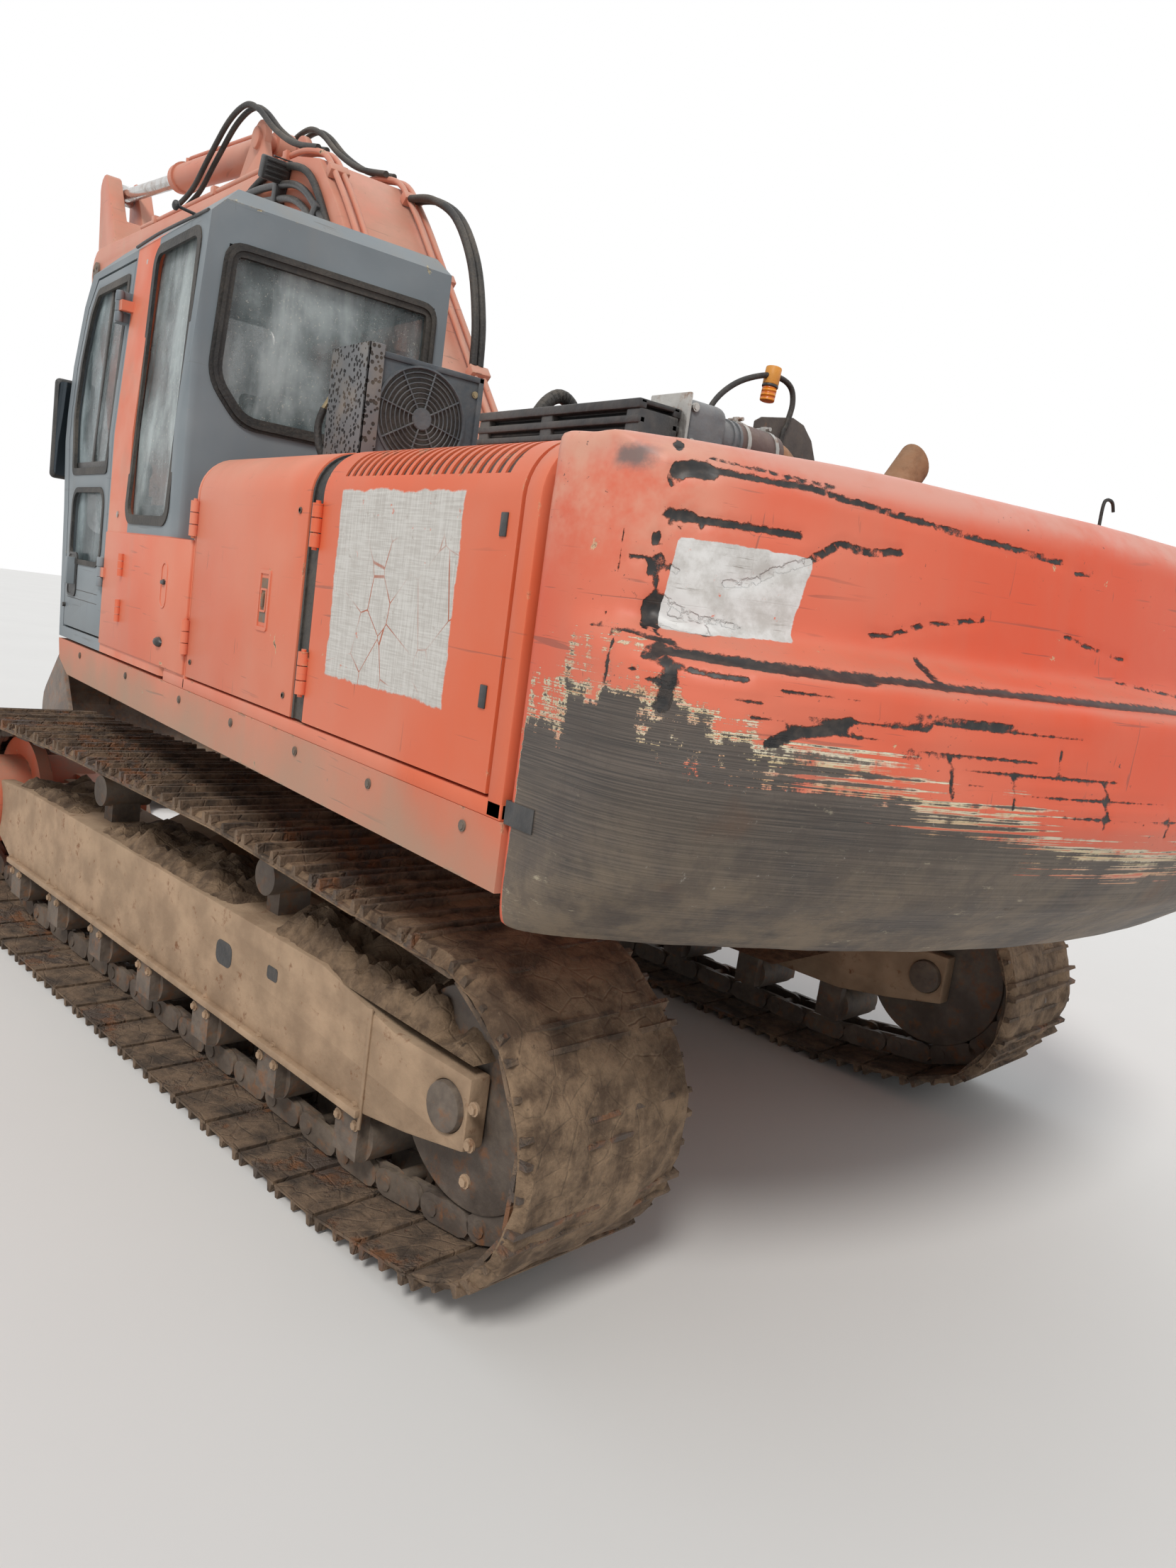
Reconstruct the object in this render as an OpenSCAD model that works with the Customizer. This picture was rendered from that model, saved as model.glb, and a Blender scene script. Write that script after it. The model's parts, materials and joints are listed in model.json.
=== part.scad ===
// Crawler excavator, full size, in millimetres.
// +X is the way the upper structure faces, +Y is the cab side and +Z is up.
// The origin lies on the ground below the swing axis.
// The undercarriage is turned a little from the upper structure, with its idlers to the rear.

/* [Tracks] */
// Distance between the centre lines of the two tracks
track_gauge = 2590; // [2500:10:2700]
// Width of a track shoe
shoe_w = 600; // [500:10:650]
// Distance between the idler and sprocket centres
tumbler_l = 3730; // [3600:10:4050]
// Height of the idler centre above the ground
idler_z = 520; // [500:5:540]
// Height of the sprocket centre above the ground
sprocket_z = 550; // [520:5:570]
// Radius at which the chain runs on the idler and the sprocket
wheel_r = 310; // [295:5:320]
// Height of a chain link
link_h = 100; // [90:5:110]
// Thickness of a shoe plate
shoe_t = 14; // [10:1:20]
// Height of the grouser ribs
lug_h = 31; // [20:1:40]
// Width of the chain
chain_w = 220; // [190:5:240]
// Radius of the lower rollers
roller_r = 85; // [75:1:95]
// Radius of the upper rollers
carrier_r = 65; // [55:1:75]
// Radius of the idler axle
idler_axle_r = 70; // [60:1:80]
// Radius of the final drive hub
hub_r = 215; // [200:5:225]
// Highest point of the track
track_top = 1040; // [1020:5:1070]
// Angle of the tracks to the upper structure
track_turn = 7; // [0:0.5:10]

/* [Undercarriage] */
// Height of the lower edge of the track frames
beam_z0 = 330; // [310:5:345]
// Height of the upper edge of the track frames
beam_z1 = 700; // [660:10:720]
// Width of a track frame
beam_w = 360; // [320:10:400]
// Height of the lower plate of the car body
body_z0 = 500; // [480:5:540]
// Height of the upper plate of the car body
body_z1 = 960; // [900:10:1000]
// Width of the middle of the car body
body_w = 1300; // [1200:10:1400]
// Length of the middle of the car body
body_l = 1500; // [1400:10:1700]
// Distance of the tow hole behind the car body
tow_x = 100; // [90:1:120]
// Width of the tow lug
tow_w = 160; // [140:5:180]
// Thickness of the tow lug
tow_t = 80; // [60:5:100]
// Radius of the tow hole
tow_r = 32; // [25:1:40]
// Outer radius of the swing bearing
bearing_r = 720; // [680:5:760]
// Height of the swing bearing
bearing_h = 170; // [150:5:190]
// Gap between the two rings of the swing bearing
bearing_gap = 0.5; // [0.3:0.1:1]

/* [Deck] */
// Width of the upper structure
deck_w = 2990; // [2900:10:3050]
// Height of the underside of the side beams
beam_low = 1250; // [1230:5:1270]
// Height of the deck plate, on which the covers stand
deck_z1 = 1400; // [1390:5:1430]
// Front end of the deck
deck_front = 1300; // [1290:5:1350]
// Thickness of the boom foot brackets
bracket_t = 60; // [40:5:80]
// Clear width between the boom foot brackets
bracket_gap = 720; // [700:10:760]

/* [Counterweight] */
// Front face of the counterweight, behind the swing axis
cw_front = 2500; // [2480:5:2560]
// Rear swing radius
cw_r = 3290; // [3250:10:3400]
// Radius of the set-back upper part
cw_top_r = 3110; // [3060:10:3140]
// Radius at the lower edge
cw_low_r = 2960; // [2900:10:3000]
// Height of the lower edge
cw_z0 = 1180; // [1160:5:1220]
// Height of the ledge
cw_ledge_z = 1790; // [1740:10:1840]
// Height of the top
cw_top = 2200; // [2150:10:2260]
// Depth of the lifting holes in the top
cw_hole_l = 260; // [200:10:300]
// Radius of the lifting holes in the top
cw_hole_r = 36; // [25:1:45]

/* [Cab] */
// Rear wall of the cab, behind the swing axis
cab_rear = 235; // [225:1:245]
// Inner side of the cab
cab_in = 500; // [495:1:510]
// Top of the cab
cab_top = 3140; // [3100:5:3200]
// Thickness of the walls and the door
cab_wall = 45; // [35:1:55]
// Hinge edge of the door
door_x = 620; // [600:5:650]
// Gap around doors and lids
seam = 8; // [6:1:12]
// Thickness of the panes
pane_t = 6; // [5:1:8]
// Front edge of the cab at the height of the mirror arm
cab_nose = 1445; // [1440:1:1450]
// Height of the mirror arm
mirror_z = 2620; // [2560:10:2640]
// Place of the mirror in front of the swing axis
mirror_x = 1490; // [1480:5:1520]
// Height of the side window sill
sill_z = 2150; // [2130:5:2180]

/* [Covers] */
// Top of the side covers
cover_top = 2200; // [2160:5:2230]
// Seam between the two left covers, behind the swing axis
seam_x = 1434; // [1400:2:1460]
// Inner side of the covers on the left, in front of the engine
cover_in = 640; // [620:5:660]
// Inner side of the pump compartment on the right
pump_in = 800; // [780:5:820]
// Thickness of the cover plates
cover_t = 40; // [30:1:50]
// Inner side of the tanks on the right
tank_in = 520; // [500:5:540]
// Front of the hydraulic tank, behind the swing axis
tank_x = 700; // [680:5:720]
// Top of the hydraulic tank
tank_top = 2330; // [2280:5:2380]
// Front of the fuel tank
fuel_x = 360; // [340:5:400]
// Top of the coolers beside the engine
cooler_top = 2340; // [2320:5:2370]
// Inner side of the covers beside the engine
rear_in = 1160; // [1150:5:1180]
// Front edge of the front cover door, behind the swing axis
front_seam = 481; // [470:1:500]
// Top of the tool box
tool_top = 1850; // [1780:10:1900]
// Gap between the cab floor and the deck
cab_gap = 12; // [8:1:16]

/* [Hinges] */
// Radius of a hinge knuckle
hinge_r = 16; // [14:1:18]
// Radius of a hinge pin
hinge_pin_r = 7; // [5:1:9]
// Height of a hinge
hinge_h = 120; // [100:5:140]
// Distance of a cover's hinge pin outside the side face
hinge_out = 10; // [8:1:12]
// Distance of the cab door's hinge pin outside the side face
cab_hinge_out = 12; // [10:1:14]
// Height of the cab door's lower hinge
cab_hinge_z = 1680; // [1660:10:1700]

/* [Boom] */
// Boom foot pin in front of the swing axis
foot_x = 100; // [80:5:120]
// Height of the boom foot pin
foot_z = 1920; // [1900:5:1940]
// Length of the boom from pin to pin
boom_l = 6400; // [6300:10:6500]
// Width of the boom
boom_w = 560; // [520:10:580]
// Height of the bend above the line between the pins
bend_v = 1460; // [1420:10:1480]
// Place of the bend along the line between the pins
bend_u = 2250; // [2200:10:2300]
// Depth of the boom at its bend
bend_d = 800; // [760:10:840]
// Boom angle as parked
boom_rest = 19.6; // [19:0.1:20]
// Boom cylinder pin on the boom, along the line between the pins
lift_u = 2580; // [2540:10:2620]
// Boom cylinder pin on the boom, above that line
lift_v = 960; // [930:10:990]
// Boom cylinder pin on the deck, in front of the swing axis
lift_x = 740; // [720:5:760]
// Height of the boom cylinder pin on the deck
lift_z = 1420; // [1410:5:1430]
// Distance of the boom cylinders from the middle
lift_y = 400; // [396:1:402]
// Depth of the fork that holds the arm
fork_l = 700; // [690:5:720]
// Radius of the pipes along the boom
pipe_r = 20; // [15:1:24]
// Distance of those pipes from the boom's side
pipe_off = 34; // [30:1:36]

/* [Arm] */
// Length of the arm from pin to pin
arm_l = 3200; // [3150:10:3250]
// Width of the arm
arm_w = 360; // [340:5:380]
// Arm angle as parked
arm_rest = 243; // [242:0.1:244]
// Distance of the arm cylinder pin behind the arm foot pin
tail_u = 860; // [840:5:880]
// Arm cylinder pin on the boom, along the line between the pins
crowd_u = 3580; // [3540:10:3620]
// Arm cylinder pin on the boom, above that line
crowd_v = 1410; // [1390:5:1430]
// Bucket cylinder pin on the arm, along the arm
curl_u = 100; // [80:5:120]
// Bucket cylinder pin on the arm, outward from it
curl_v = 600; // [580:5:620]
// Rocker pin on the arm, along the arm
rock_u = 2720; // [2700:5:2740]
// Rocker pin on the arm, outward from it
rock_v = 50; // [40:2:60]
// Length of the rocker
rocker_l = 700; // [690:2:710]
// Length of the bucket link
link_l = 660; // [650:2:670]
// Thickness of the rocker's plates
rock_t = 40; // [30:2:44]

/* [Bucket] */
// Width of the bucket
bucket_w = 1440; // [1380:10:1500]
// Distance from the bucket pin to the tooth tips
tip_r = 1570; // [1550:5:1600]
// Thickness of the bucket plates
bucket_t = 30; // [25:1:40]
// Distance of the link pin from the bucket pin, at right angles to the tooth direction
ear_v = 500; // [490:2:510]
// Distance of the link pin behind the bucket pin
ear_u = 50; // [40:2:60]
// Start of the bucket's mouth in front of the bucket pin
mouth_u = 165; // [155:5:175]
// Thickness of the bucket's ears
ear_t = 46; // [40:2:50]
// Bucket angle as parked
bucket_rest = 230.8; // [230:0.1:232]

/* [Cylinders] */
// Half of the clear width in the boom cylinder brackets
fork_y = 62; // [60:1:64]
// Thickness of the boom cylinder brackets
fork_t = 30; // [25:1:32]
// Outer radius of the boom cylinder barrels
lift_r = 78; // [72:1:84]
// Outer radius of the arm cylinder barrel
crowd_r = 95; // [88:1:100]
// Outer radius of the bucket cylinder barrel
curl_r = 85; // [80:1:92]
// Radius of the rods
rod_r = 52; // [45:1:60]
// Half of the width of the cylinders' eyes
eye_y = 54; // [52:1:56]
// Length of a boom cylinder's barrel from its pin
lift_len = 1650; // [1630:5:1670]
// Length of a boom cylinder's rod from its pin
lift_rod = 1660; // [1650:1:1662]
// Length of the arm cylinder's barrel from its pin
crowd_len = 2020; // [1980:5:2060]
// Length of the arm cylinder's rod from its pin
crowd_rod = 1950; // [1930:5:1980]
// Length of the bucket cylinder's barrel from its pin
curl_len = 1750; // [1720:5:1780]
// Length of the bucket cylinder's rod from its pin
curl_rod = 1760; // [1740:5:1780]
// Radius of the pins
pin_r = 45; // [40:1:50]
// Gap at pins
pin_gap = 0.5; // [0.3:0.1:1]
// Gap around fixed shafts
fit_gap = 0.3; // [0.2:0.1:0.5]
// Gap between pieces that move past each other
run_gap = 8; // [6:1:12]

/* [Hidden] */
$fn = 48;

belt_t = link_h + shoe_t + lug_h;
shoe_y = track_gauge / 2;
carrier_x = 700;
tow_z = body_z0 + 30;
carrier_z = track_top - belt_t - carrier_r;
roll_x = tumbler_l / 2 - 445;
roll_z = belt_t + roller_r;
roller_n = 7;
half_w = deck_w / 2;
deck_z0 = body_z1 + bearing_h;
cab_z0 = deck_z1 + cab_gap;
hinge_y = half_w + hinge_out;
cab_hinge_y = half_w + cab_hinge_out;
cab_hinges = [cab_hinge_z, 2740];
hinge_levels = [deck_z1 + 120, cover_top - 280];
ear_y = arm_w / 2 + run_gap;
rock_y = ear_y + ear_t + run_gap + 4;
// The upper pipe's points along the boom
pipe_path = [[520, 330], [bend_u - 500, bend_v - 360], [bend_u + 60, bend_v - 170],
             [bend_u + 700, bend_v - 300], [boom_l - 900, 260]];
foot = [foot_x, foot_z];

// A point given along and across a line at an angle, from an origin in the XZ plane
function at(o, a, u, v) = [o[0] + u * cos(a) - v * sin(a), o[1] + u * sin(a) + v * cos(a)];
function heading(a, b) = atan2(b[1] - a[1], b[0] - a[0]);

tip = at(foot, boom_rest, boom_l, 0);
hook = at(tip, arm_rest, arm_l, 0);
lift_base = [lift_x, lift_z];
lift_eye = at(foot, boom_rest, lift_u, lift_v);
crowd_base = at(foot, boom_rest, crowd_u, crowd_v);
crowd_eye = at(tip, arm_rest, -tail_u, 0);
curl_base = at(tip, arm_rest, curl_u, curl_v);
rock_pin = at(tip, arm_rest, rock_u, rock_v);
ear_pin = at(hook, bucket_rest, -ear_u, ear_v);

// Where two circles meet, on the left of the way from the first centre to the second
function meet(a, ra, b, rb) =
    let (d = norm(b - a), s = (ra * ra - rb * rb + d * d) / (2 * d), h = sqrt(ra * ra - s * s),
         e = (b - a) / d)
    a + s * e + h * [-e[1], e[0]];
knee = meet(rock_pin, rocker_l, ear_pin, link_l);

// Points of an arc, from one angle to another
function arc(c, r, a0, a1, n) = [for (i = [0:n]) c + r * [cos(a0 + (a1 - a0) * i / n),
                                                          sin(a0 + (a1 - a0) * i / n)]];
function rounded(x0, y0, x1, y1, r) = concat(
    arc([x1 - r, y1 - r], r, 0, 90, 6), arc([x0 + r, y1 - r], r, 90, 180, 6),
    arc([x0 + r, y0 + r], r, 180, 270, 6), arc([x1 - r, y0 + r], r, 270, 360, 6));

// The track's path: wheels in turn as [x, z, radius], wrapped at a distance outside them
wheels = [
    [roll_x, roll_z, roller_r], [tumbler_l / 2, sprocket_z, wheel_r],
    [carrier_x, carrier_z, carrier_r], [-carrier_x, carrier_z, carrier_r],
    [-tumbler_l / 2, idler_z, wheel_r], [-roll_x, roll_z, roller_r]];
function wrap_angle(a, b) =
    let (d = norm([b[0] - a[0], b[1] - a[1]]))
    atan2(b[1] - a[1], b[0] - a[0]) - acos((a[2] - b[2]) / d);
function wheel_arc(i, out) =
    let (n = len(wheels), w = wheels[i], a0 = wrap_angle(wheels[(i + n - 1) % n], w),
         a1 = wrap_angle(w, wheels[(i + 1) % n]), sweep = (a1 - a0 + 720) % 360)
    arc([w[0], w[1]], w[2] + out, a0, a0 + sweep, max(2, ceil(sweep / 9)));
function belt(out) = [for (i = [0:len(wheels) - 1]) each wheel_arc(i, out)];

// A box between two corners
module block(a, b) { translate(a) cube(b - a); }

// An outline in the XZ plane, thick from y0 to y1
module slab(points, y0, y1) {
    translate([0, y1, 0]) rotate([90, 0, 0]) linear_extrude(y1 - y0) polygon(points);
}

// An outline in the YZ plane, thick from x0 to x1
module slice(points, x0, x1) {
    translate([x0, 0, 0]) rotate([90, 0, 90]) linear_extrude(x1 - x0) polygon(points);
}

// A round bar along Y through a point of the XZ plane
module bar(p, r, y0, y1) {
    translate([p[0], y1, p[1]]) rotate([90, 0, 0]) cylinder(h = y1 - y0, r = r);
}

// Children drawn with X along a line of the XZ plane
module along(p, a) { translate([p[0], 0, p[1]]) rotate([0, -a, 0]) children(); }

// A round rod between two points of the XZ plane, at a place along Y
module strut(p, q, y, r) {
    translate([0, y, 0]) along(p, heading(p, q)) rotate([0, 90, 0])
        cylinder(h = norm(q - p), r = r);
}

module both_sides() { children(); mirror([0, 1, 0]) children(); }
module turned() { rotate([0, 0, track_turn]) children(); }

// Undercarriage
module car_body() {
    color("saddlebrown") turned() {
        difference() {
            union() {
                block([-body_l / 2, -body_w / 2, body_z0], [body_l / 2, body_w / 2, body_z1 - 40]);
                translate([0, 0, body_z1 - 40]) cylinder(h = 40, r = bearing_r);
                both_sides() for (s = [-1, 1]) leg(s);
                block([-body_l / 2 - tow_x, -tow_w / 2, tow_z], [1 - body_l / 2, tow_w / 2, tow_z + tow_t]);
                translate([-body_l / 2 - tow_x, 0, tow_z]) cylinder(h = tow_t, r = tow_w / 2);
            }
            translate([0, 0, body_z0 - 1]) cylinder(h = body_z1, r = bearing_r - 330);
            translate([-body_l / 2 - tow_x, 0, tow_z - 1]) cylinder(h = tow_t + 2, r = tow_r);
        }
    }
}
// A leg of the car body, which reaches to its track frame
module leg(s) {
    reach = shoe_y - beam_w / 2;
    slice([[body_w / 2 - 60, body_z0 + 20], [reach, beam_z0 + 60], [reach, beam_z1 - 40],
           [body_w / 2 - 60, body_z1 - 60]], s * 560 - 190, s * 560 + 190);
}
module swing_bearing() {
    color("dimgray") difference() {
        translate([0, 0, body_z1]) cylinder(h = bearing_h - bearing_gap, r = bearing_r - 30);
        translate([0, 0, body_z1 - 1]) cylinder(h = bearing_h + 2, r = bearing_r - 180);
    }
}
module track_frame() {
    x0 = tumbler_l / 2;
    out = shoe_y + beam_w / 2;
    in = shoe_y - beam_w / 2;
    difference() {
        slab([[-x0 - 90, idler_z - 95], [-x0 + 160, idler_z - 150], [-roll_x - 40, beam_z0],
              [roll_x + 60, beam_z0], [x0 - 180, sprocket_z - 130],
              [x0 - 180, sprocket_z + 130], [roll_x - 80, beam_z1], [-roll_x + 200, beam_z1],
              [-x0 + 260, idler_z + 110], [-x0 - 90, idler_z + 110]], in, out);
        bar([-x0, idler_z], wheel_r + 30, shoe_y - chain_w / 2, shoe_y + chain_w / 2);
        block([-x0 - 100, shoe_y - chain_w / 2, 0], [-x0, shoe_y + chain_w / 2, body_z1]);
        bar([-x0, idler_z], idler_axle_r + fit_gap, in - 1, out + 1);
        bar([x0, sprocket_z], wheel_r + 40, shoe_y - chain_w / 2, shoe_y + chain_w / 2);
        bar([x0, sprocket_z], hub_r + run_gap, in - 1, out + 1);
    }
}
module track_frame_left() { color("sienna") turned() track_frame(); }
module track_frame_right() { color("sienna") turned() mirror([0, 1, 0]) track_frame(); }
module track() {
    difference() {
        union() {
            slab(belt(belt_t), shoe_y - shoe_w / 2, shoe_y + shoe_w / 2);
        }
        slab(belt(link_h), shoe_y - shoe_w, shoe_y - chain_w / 2);
        slab(belt(link_h), shoe_y + chain_w / 2, shoe_y + shoe_w);
        slab(belt(1.5), shoe_y - shoe_w, shoe_y + shoe_w);
    }
}
module track_left() { color("dimgray") turned() track(); }
module track_right() { color("dimgray") turned() mirror([0, 1, 0]) track(); }
module final_drives() {
    p = [tumbler_l / 2, sprocket_z];
    in = shoe_y - beam_w / 2;
    color("orangered") turned() both_sides() {
        bar(p, wheel_r, shoe_y - 30, shoe_y + 30);
        bar(p, hub_r, in - 100, shoe_y + beam_w / 2 + 40);
        bar(p, hub_r - 65, shoe_y + beam_w / 2 + 40, shoe_y + beam_w / 2 + 85);
        block([roll_x - 40, in - 230, sprocket_z - 150],
              [tumbler_l / 2 + 150, in, sprocket_z + 150]);
    }
}
module idlers() {
    p = [-tumbler_l / 2, idler_z];
    color("saddlebrown") turned() both_sides() {
        bar(p, wheel_r, shoe_y - chain_w / 2 + 12, shoe_y + chain_w / 2 - 12);
        bar(p, idler_axle_r, shoe_y - beam_w / 2 - 15, shoe_y + beam_w / 2 + 15);
    }
}
module rollers() {
    end = beam_w / 2 - 10;
    color("gray") turned() both_sides() {
        for (i = [0:roller_n - 1]) let (x = -roll_x + 2 * roll_x * i / (roller_n - 1)) {
            bar([x, roll_z], roller_r, shoe_y - end + 40, shoe_y + end - 40);
            for (y = [shoe_y - end, shoe_y + end - 40])
                block([x - 60, y, roll_z - 55], [x + 60, y + 40, beam_z0]);
        }
        for (s = [-1, 1]) {
            bar([s * carrier_x, carrier_z], carrier_r, shoe_y - 100, shoe_y + 100);
            block([s * carrier_x - 40, shoe_y - 60, beam_z1],
                  [s * carrier_x + 40, shoe_y + 60, carrier_z]);
        }
    }
}
// Deck and counterweight
module main_frame() {
    in = half_w - 170;
    color("firebrick") difference() {
        union() {
            translate([0, 0, deck_z0]) cylinder(h = beam_low - deck_z0 + 1, r = bearing_r + 20);
            block([-cw_front, -560, beam_low], [deck_front - 120, 560, deck_z1]);
            both_sides() slab([[-cw_front, beam_low], [deck_front - 190, beam_low],
                [deck_front - 30, beam_low + 60], [deck_front, deck_z1], [-cw_front, deck_z1]],
                in, half_w);
            block([-cw_front, -in, deck_z1 - 90], [deck_front - 200, in, deck_z1]);
            both_sides() slab([[-seam_x, deck_z1 - 10], [lift_x + 40, deck_z1 - 10],
                [lift_x + 40, lift_z + 180], [foot_x + 210, foot_z + 60],
                [foot_x + 130, foot_z + 170], [foot_x - 130, foot_z + 170],
                [foot_x - 380, foot_z - 160], [-seam_x, deck_z1 + 50]],
                bracket_gap / 2, bracket_gap / 2 + bracket_t);
        }
        bar(foot, pin_r + pin_gap, -bracket_gap, bracket_gap);
        // Room for the boom and its cylinders at the front
        block([lift_x + 110, -cab_in, beam_low - 1], [deck_front, cab_in, cab_top]);
        both_sides() {
            block([lift_x - 145, lift_y - fork_y - 25, deck_z1 + 1],
                  [deck_front, cab_in, cab_top]);
            block([lift_x - 110, lift_y - fork_y, beam_low + 50],
                  [deck_front, lift_y + fork_y, cab_top]);
            bar(lift_base, pin_r + run_gap, lift_y - fork_y - 60, lift_y + fork_y + 60);
            block([lift_x - 105, lift_y - fork_y - fork_t, lift_z],
                  [deck_front, lift_y + fork_y + fork_t, cab_top]);
        }
    }
    color("firebrick") both_sides() for (y = [lift_y - fork_y - fork_t, lift_y + fork_y])
        difference() {
            slab(concat([[lift_x - 260, lift_z]], arc(lift_base, 105, 90, -60, 10),
                [[lift_x + 20, beam_low], [lift_x - 260, beam_low]]), y, y + fork_t);
            bar(lift_base, pin_r + pin_gap, y - 1, y + fork_t + 1);
        }
}
module counterweight() {
    color("orangered") difference() {
        intersection() {
            rotate_extrude($fn = 96) polygon([[0, cw_z0], [cw_low_r, cw_z0],
                [cw_r - 110, cw_z0 + 170], [cw_r, cw_z0 + 380], [cw_r, cw_ledge_z],
                [cw_top_r + 30, cw_ledge_z + 60], [cw_top_r, cw_top - 60],
                [cw_top_r - 60, cw_top], [0, cw_top]]);
            block([-cw_r - 10, -half_w, 0], [-cw_front, half_w, cw_top + 10]);
        }
        both_sides() translate([-cw_front - 250, 620, cw_top - cw_hole_l])
            cylinder(h = cw_hole_l + 1, r = cw_hole_r);
    }
}
// Cab: a side outline, moved in by a distance, and the same for the view from the front
function cab_side(in) = [
    [-cab_rear + in, cab_z0 + in], [1300 - in, cab_z0 + in], [1365 - in, 2000],
    [cab_nose - 5 - in, 2420], [cab_nose - in, 2640], [1380 - in, 2900],
    [1215 - in, cab_top - in],
    [-cab_rear + 60 + in, cab_top - in], [-cab_rear + in, cab_top - 60 - in]];
function cab_front(in) = [
    [cab_in + in, cab_z0 + in], [half_w - in, cab_z0 + in],
    [half_w - in, 2300], [half_w - 45 - in, cab_top - 110 - in],
    [half_w - 150 - in, cab_top - in], [cab_in + 40 + in, cab_top - in],
    [cab_in + in, cab_top - 60 - in]];
module cab_form(in) {
    intersection() {
        slab(cab_side(in), cab_in + in, half_w - in);
        slice(cab_front(in), -cab_rear, deck_front + 200);
    }
}
// The door's region of the left side, moved in by a distance
function door_outline(in) = [
    [door_x + in, cab_z0 + 48 + in], [1240 - in, cab_z0 + 48 + in], [1290 - in, 2000],
    [1370 - in, 2420], [1375 - in, 2640], [1310 - in, 2880], [1200 - in, 3000 - in],
    [door_x + in, 3000 - in]];
module door_region(in) { slab(door_outline(in), half_w - 130, half_w + 5); }
module cab_holes() {
    // Left rear side window
    slab(rounded(-160, 1960, 350, 2990, 60), half_w - 200, half_w + 10);
    // Rear window
    slice([[560, 2340], [1290, 2340], [1410, 2480], [1380, 2940], [560, 2940]],
          -cab_rear - 10, -cab_rear + 100);
    // Right side window
    slab(rounded(-120, 1960, 1180, 2960, 80), cab_in - 10, cab_in + 100);
    // Windscreen
    slice(rounded(cab_in + 80, 1900, half_w - 90, 3010, 60), 1100, 1600);
}
module cab_shell() {
    color("lightslategray") {
        difference() {
            cab_form(0);
            cab_form(cab_wall);
            door_region(0);
            cab_holes();
            for (z = cab_hinges) translate([door_x, cab_hinge_y, z - 1])
                cylinder(h = hinge_h + 2, r = hinge_r + seam);
        }
        for (x = [-cab_rear + 120, deck_front - 350], y = [cab_in + 120, half_w - 120])
            translate([x, y, deck_z1]) cylinder(h = cab_gap + 1, r = 60);
        for (z = cab_hinges) middle_knuckle(door_x, cab_hinge_y, z, -1, 70, 50);
    }
}
module cab_glass() {
    color("lightblue") intersection() {
        difference() { cab_form(cab_wall / 2); cab_form(cab_wall / 2 + pane_t); }
        cab_holes();
        difference() { cab_form(-20); door_region(-30); }
    }
}
module door_holes(in) {
    slab([[door_x + 60 + in, sill_z + in], [1230 - in, sill_z + in], [1300 - in, 2420],
          [1300 - in, 2640], [1240 - in, 2850], [1160 - in, 2940 - in],
          [door_x + 60 + in, 2940 - in]], half_w - 200, half_w + 10);
    slab(rounded(door_x + 70 + in, 1760 + in, 1200 - in, 2080 - in, 70),
         half_w - 200, half_w + 10);
}
module cab_door() {
    color("slategray") {
        difference() {
            intersection() {
                difference() { cab_form(0); cab_form(cab_wall); }
                door_region(seam);
            }
            door_holes(0);
            for (z = cab_hinges) translate([door_x, cab_hinge_y, z - 1])
                cylinder(h = hinge_h + 2, r = hinge_r + seam);
        }
        for (z = cab_hinges) knuckles(door_x, cab_hinge_y, z, 1, 70);
        block([1090, half_w - 5, 1660], [1130, half_w + 35, 1780]);
    }
}
module cab_door_glass() {
    color("lightblue") intersection() {
        difference() { cab_form(cab_wall / 2); cab_form(cab_wall / 2 + pane_t); }
        door_holes(0.3);
    }
}
module operator_seat() {
    floor_z = cab_z0 + cab_wall;
    mid = (cab_in + half_w) / 2;
    color("dimgray") {
        block([250, mid - 200, floor_z], [650, mid + 200, 1850]);
        block([200, mid - 240, 1850], [720, mid + 240, 1980]);
        slab([[120, 1900], [250, 1900], [250, 1980], [160, 2620], [40, 2600]],
             mid - 220, mid + 220);
        for (y = [mid - 400, mid + 260]) block([260, y, floor_z], [800, y + 140, 2050]);
    }
}
module side_mirror() {
    mid = half_w - 50;
    color("black") {
        block([mirror_x, mid - 90, mirror_z - 490], [mirror_x + 45, mid + 90, mirror_z - 35]);
        translate([mirror_x + 22, mid, mirror_z - 36]) cylinder(h = 48, r = 12);
        translate([cab_nose + fit_gap, mid, mirror_z]) rotate([0, 90, 0])
            cylinder(h = mirror_x + 34 - cab_nose - fit_gap, r = 12);
    }
}
// Covers and machinery
// A door's opening and its panel in the left side wall, between two places along X
module side_opening(x0, x1) {
    block([x0, half_w - cover_t - 1, deck_z1 + 30], [x1, half_w + 1, cover_top - 60]);
}
// A hinge: two knuckles and a pin on the door, with a leaf that reaches inwards from them
module knuckles(x, y, z, side, leaf) {
    third = hinge_h / 3;
    translate([x, y, z]) cylinder(h = hinge_h, r = hinge_pin_r);
    for (dz = [0, 2 * third]) {
        translate([x, y, z + dz]) cylinder(h = third, r = hinge_r);
        block([min(x, x + side * 60), y - leaf, z + dz],
              [max(x, x + side * 60), y + 4, z + dz + third]);
    }
}
// The knuckle between those two, with its leaf on the fixed side
module middle_knuckle(x, y, z, side, leaf, reach) {
    third = hinge_h / 3;
    difference() {
        union() {
            translate([x, y, z + third + 0.5]) cylinder(h = third - 1, r = hinge_r);
            block([min(x, x + side * reach), y - leaf, z + third + 0.5],
                  [max(x, x + side * reach), y + 4, z + 2 * third - 0.5]);
        }
        translate([x, y, z]) cylinder(h = hinge_h, r = hinge_pin_r + fit_gap);
    }
}
module side_door(x0, x1) {
    difference() {
        block([x0 + seam, half_w - cover_t, deck_z1 + 30 + seam],
              [x1 - seam, half_w, cover_top - 60 - seam]);
        hinge_room(x1);
    }
    for (z = hinge_levels) knuckles(x1, hinge_y, z, -1, 28);
}
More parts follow.
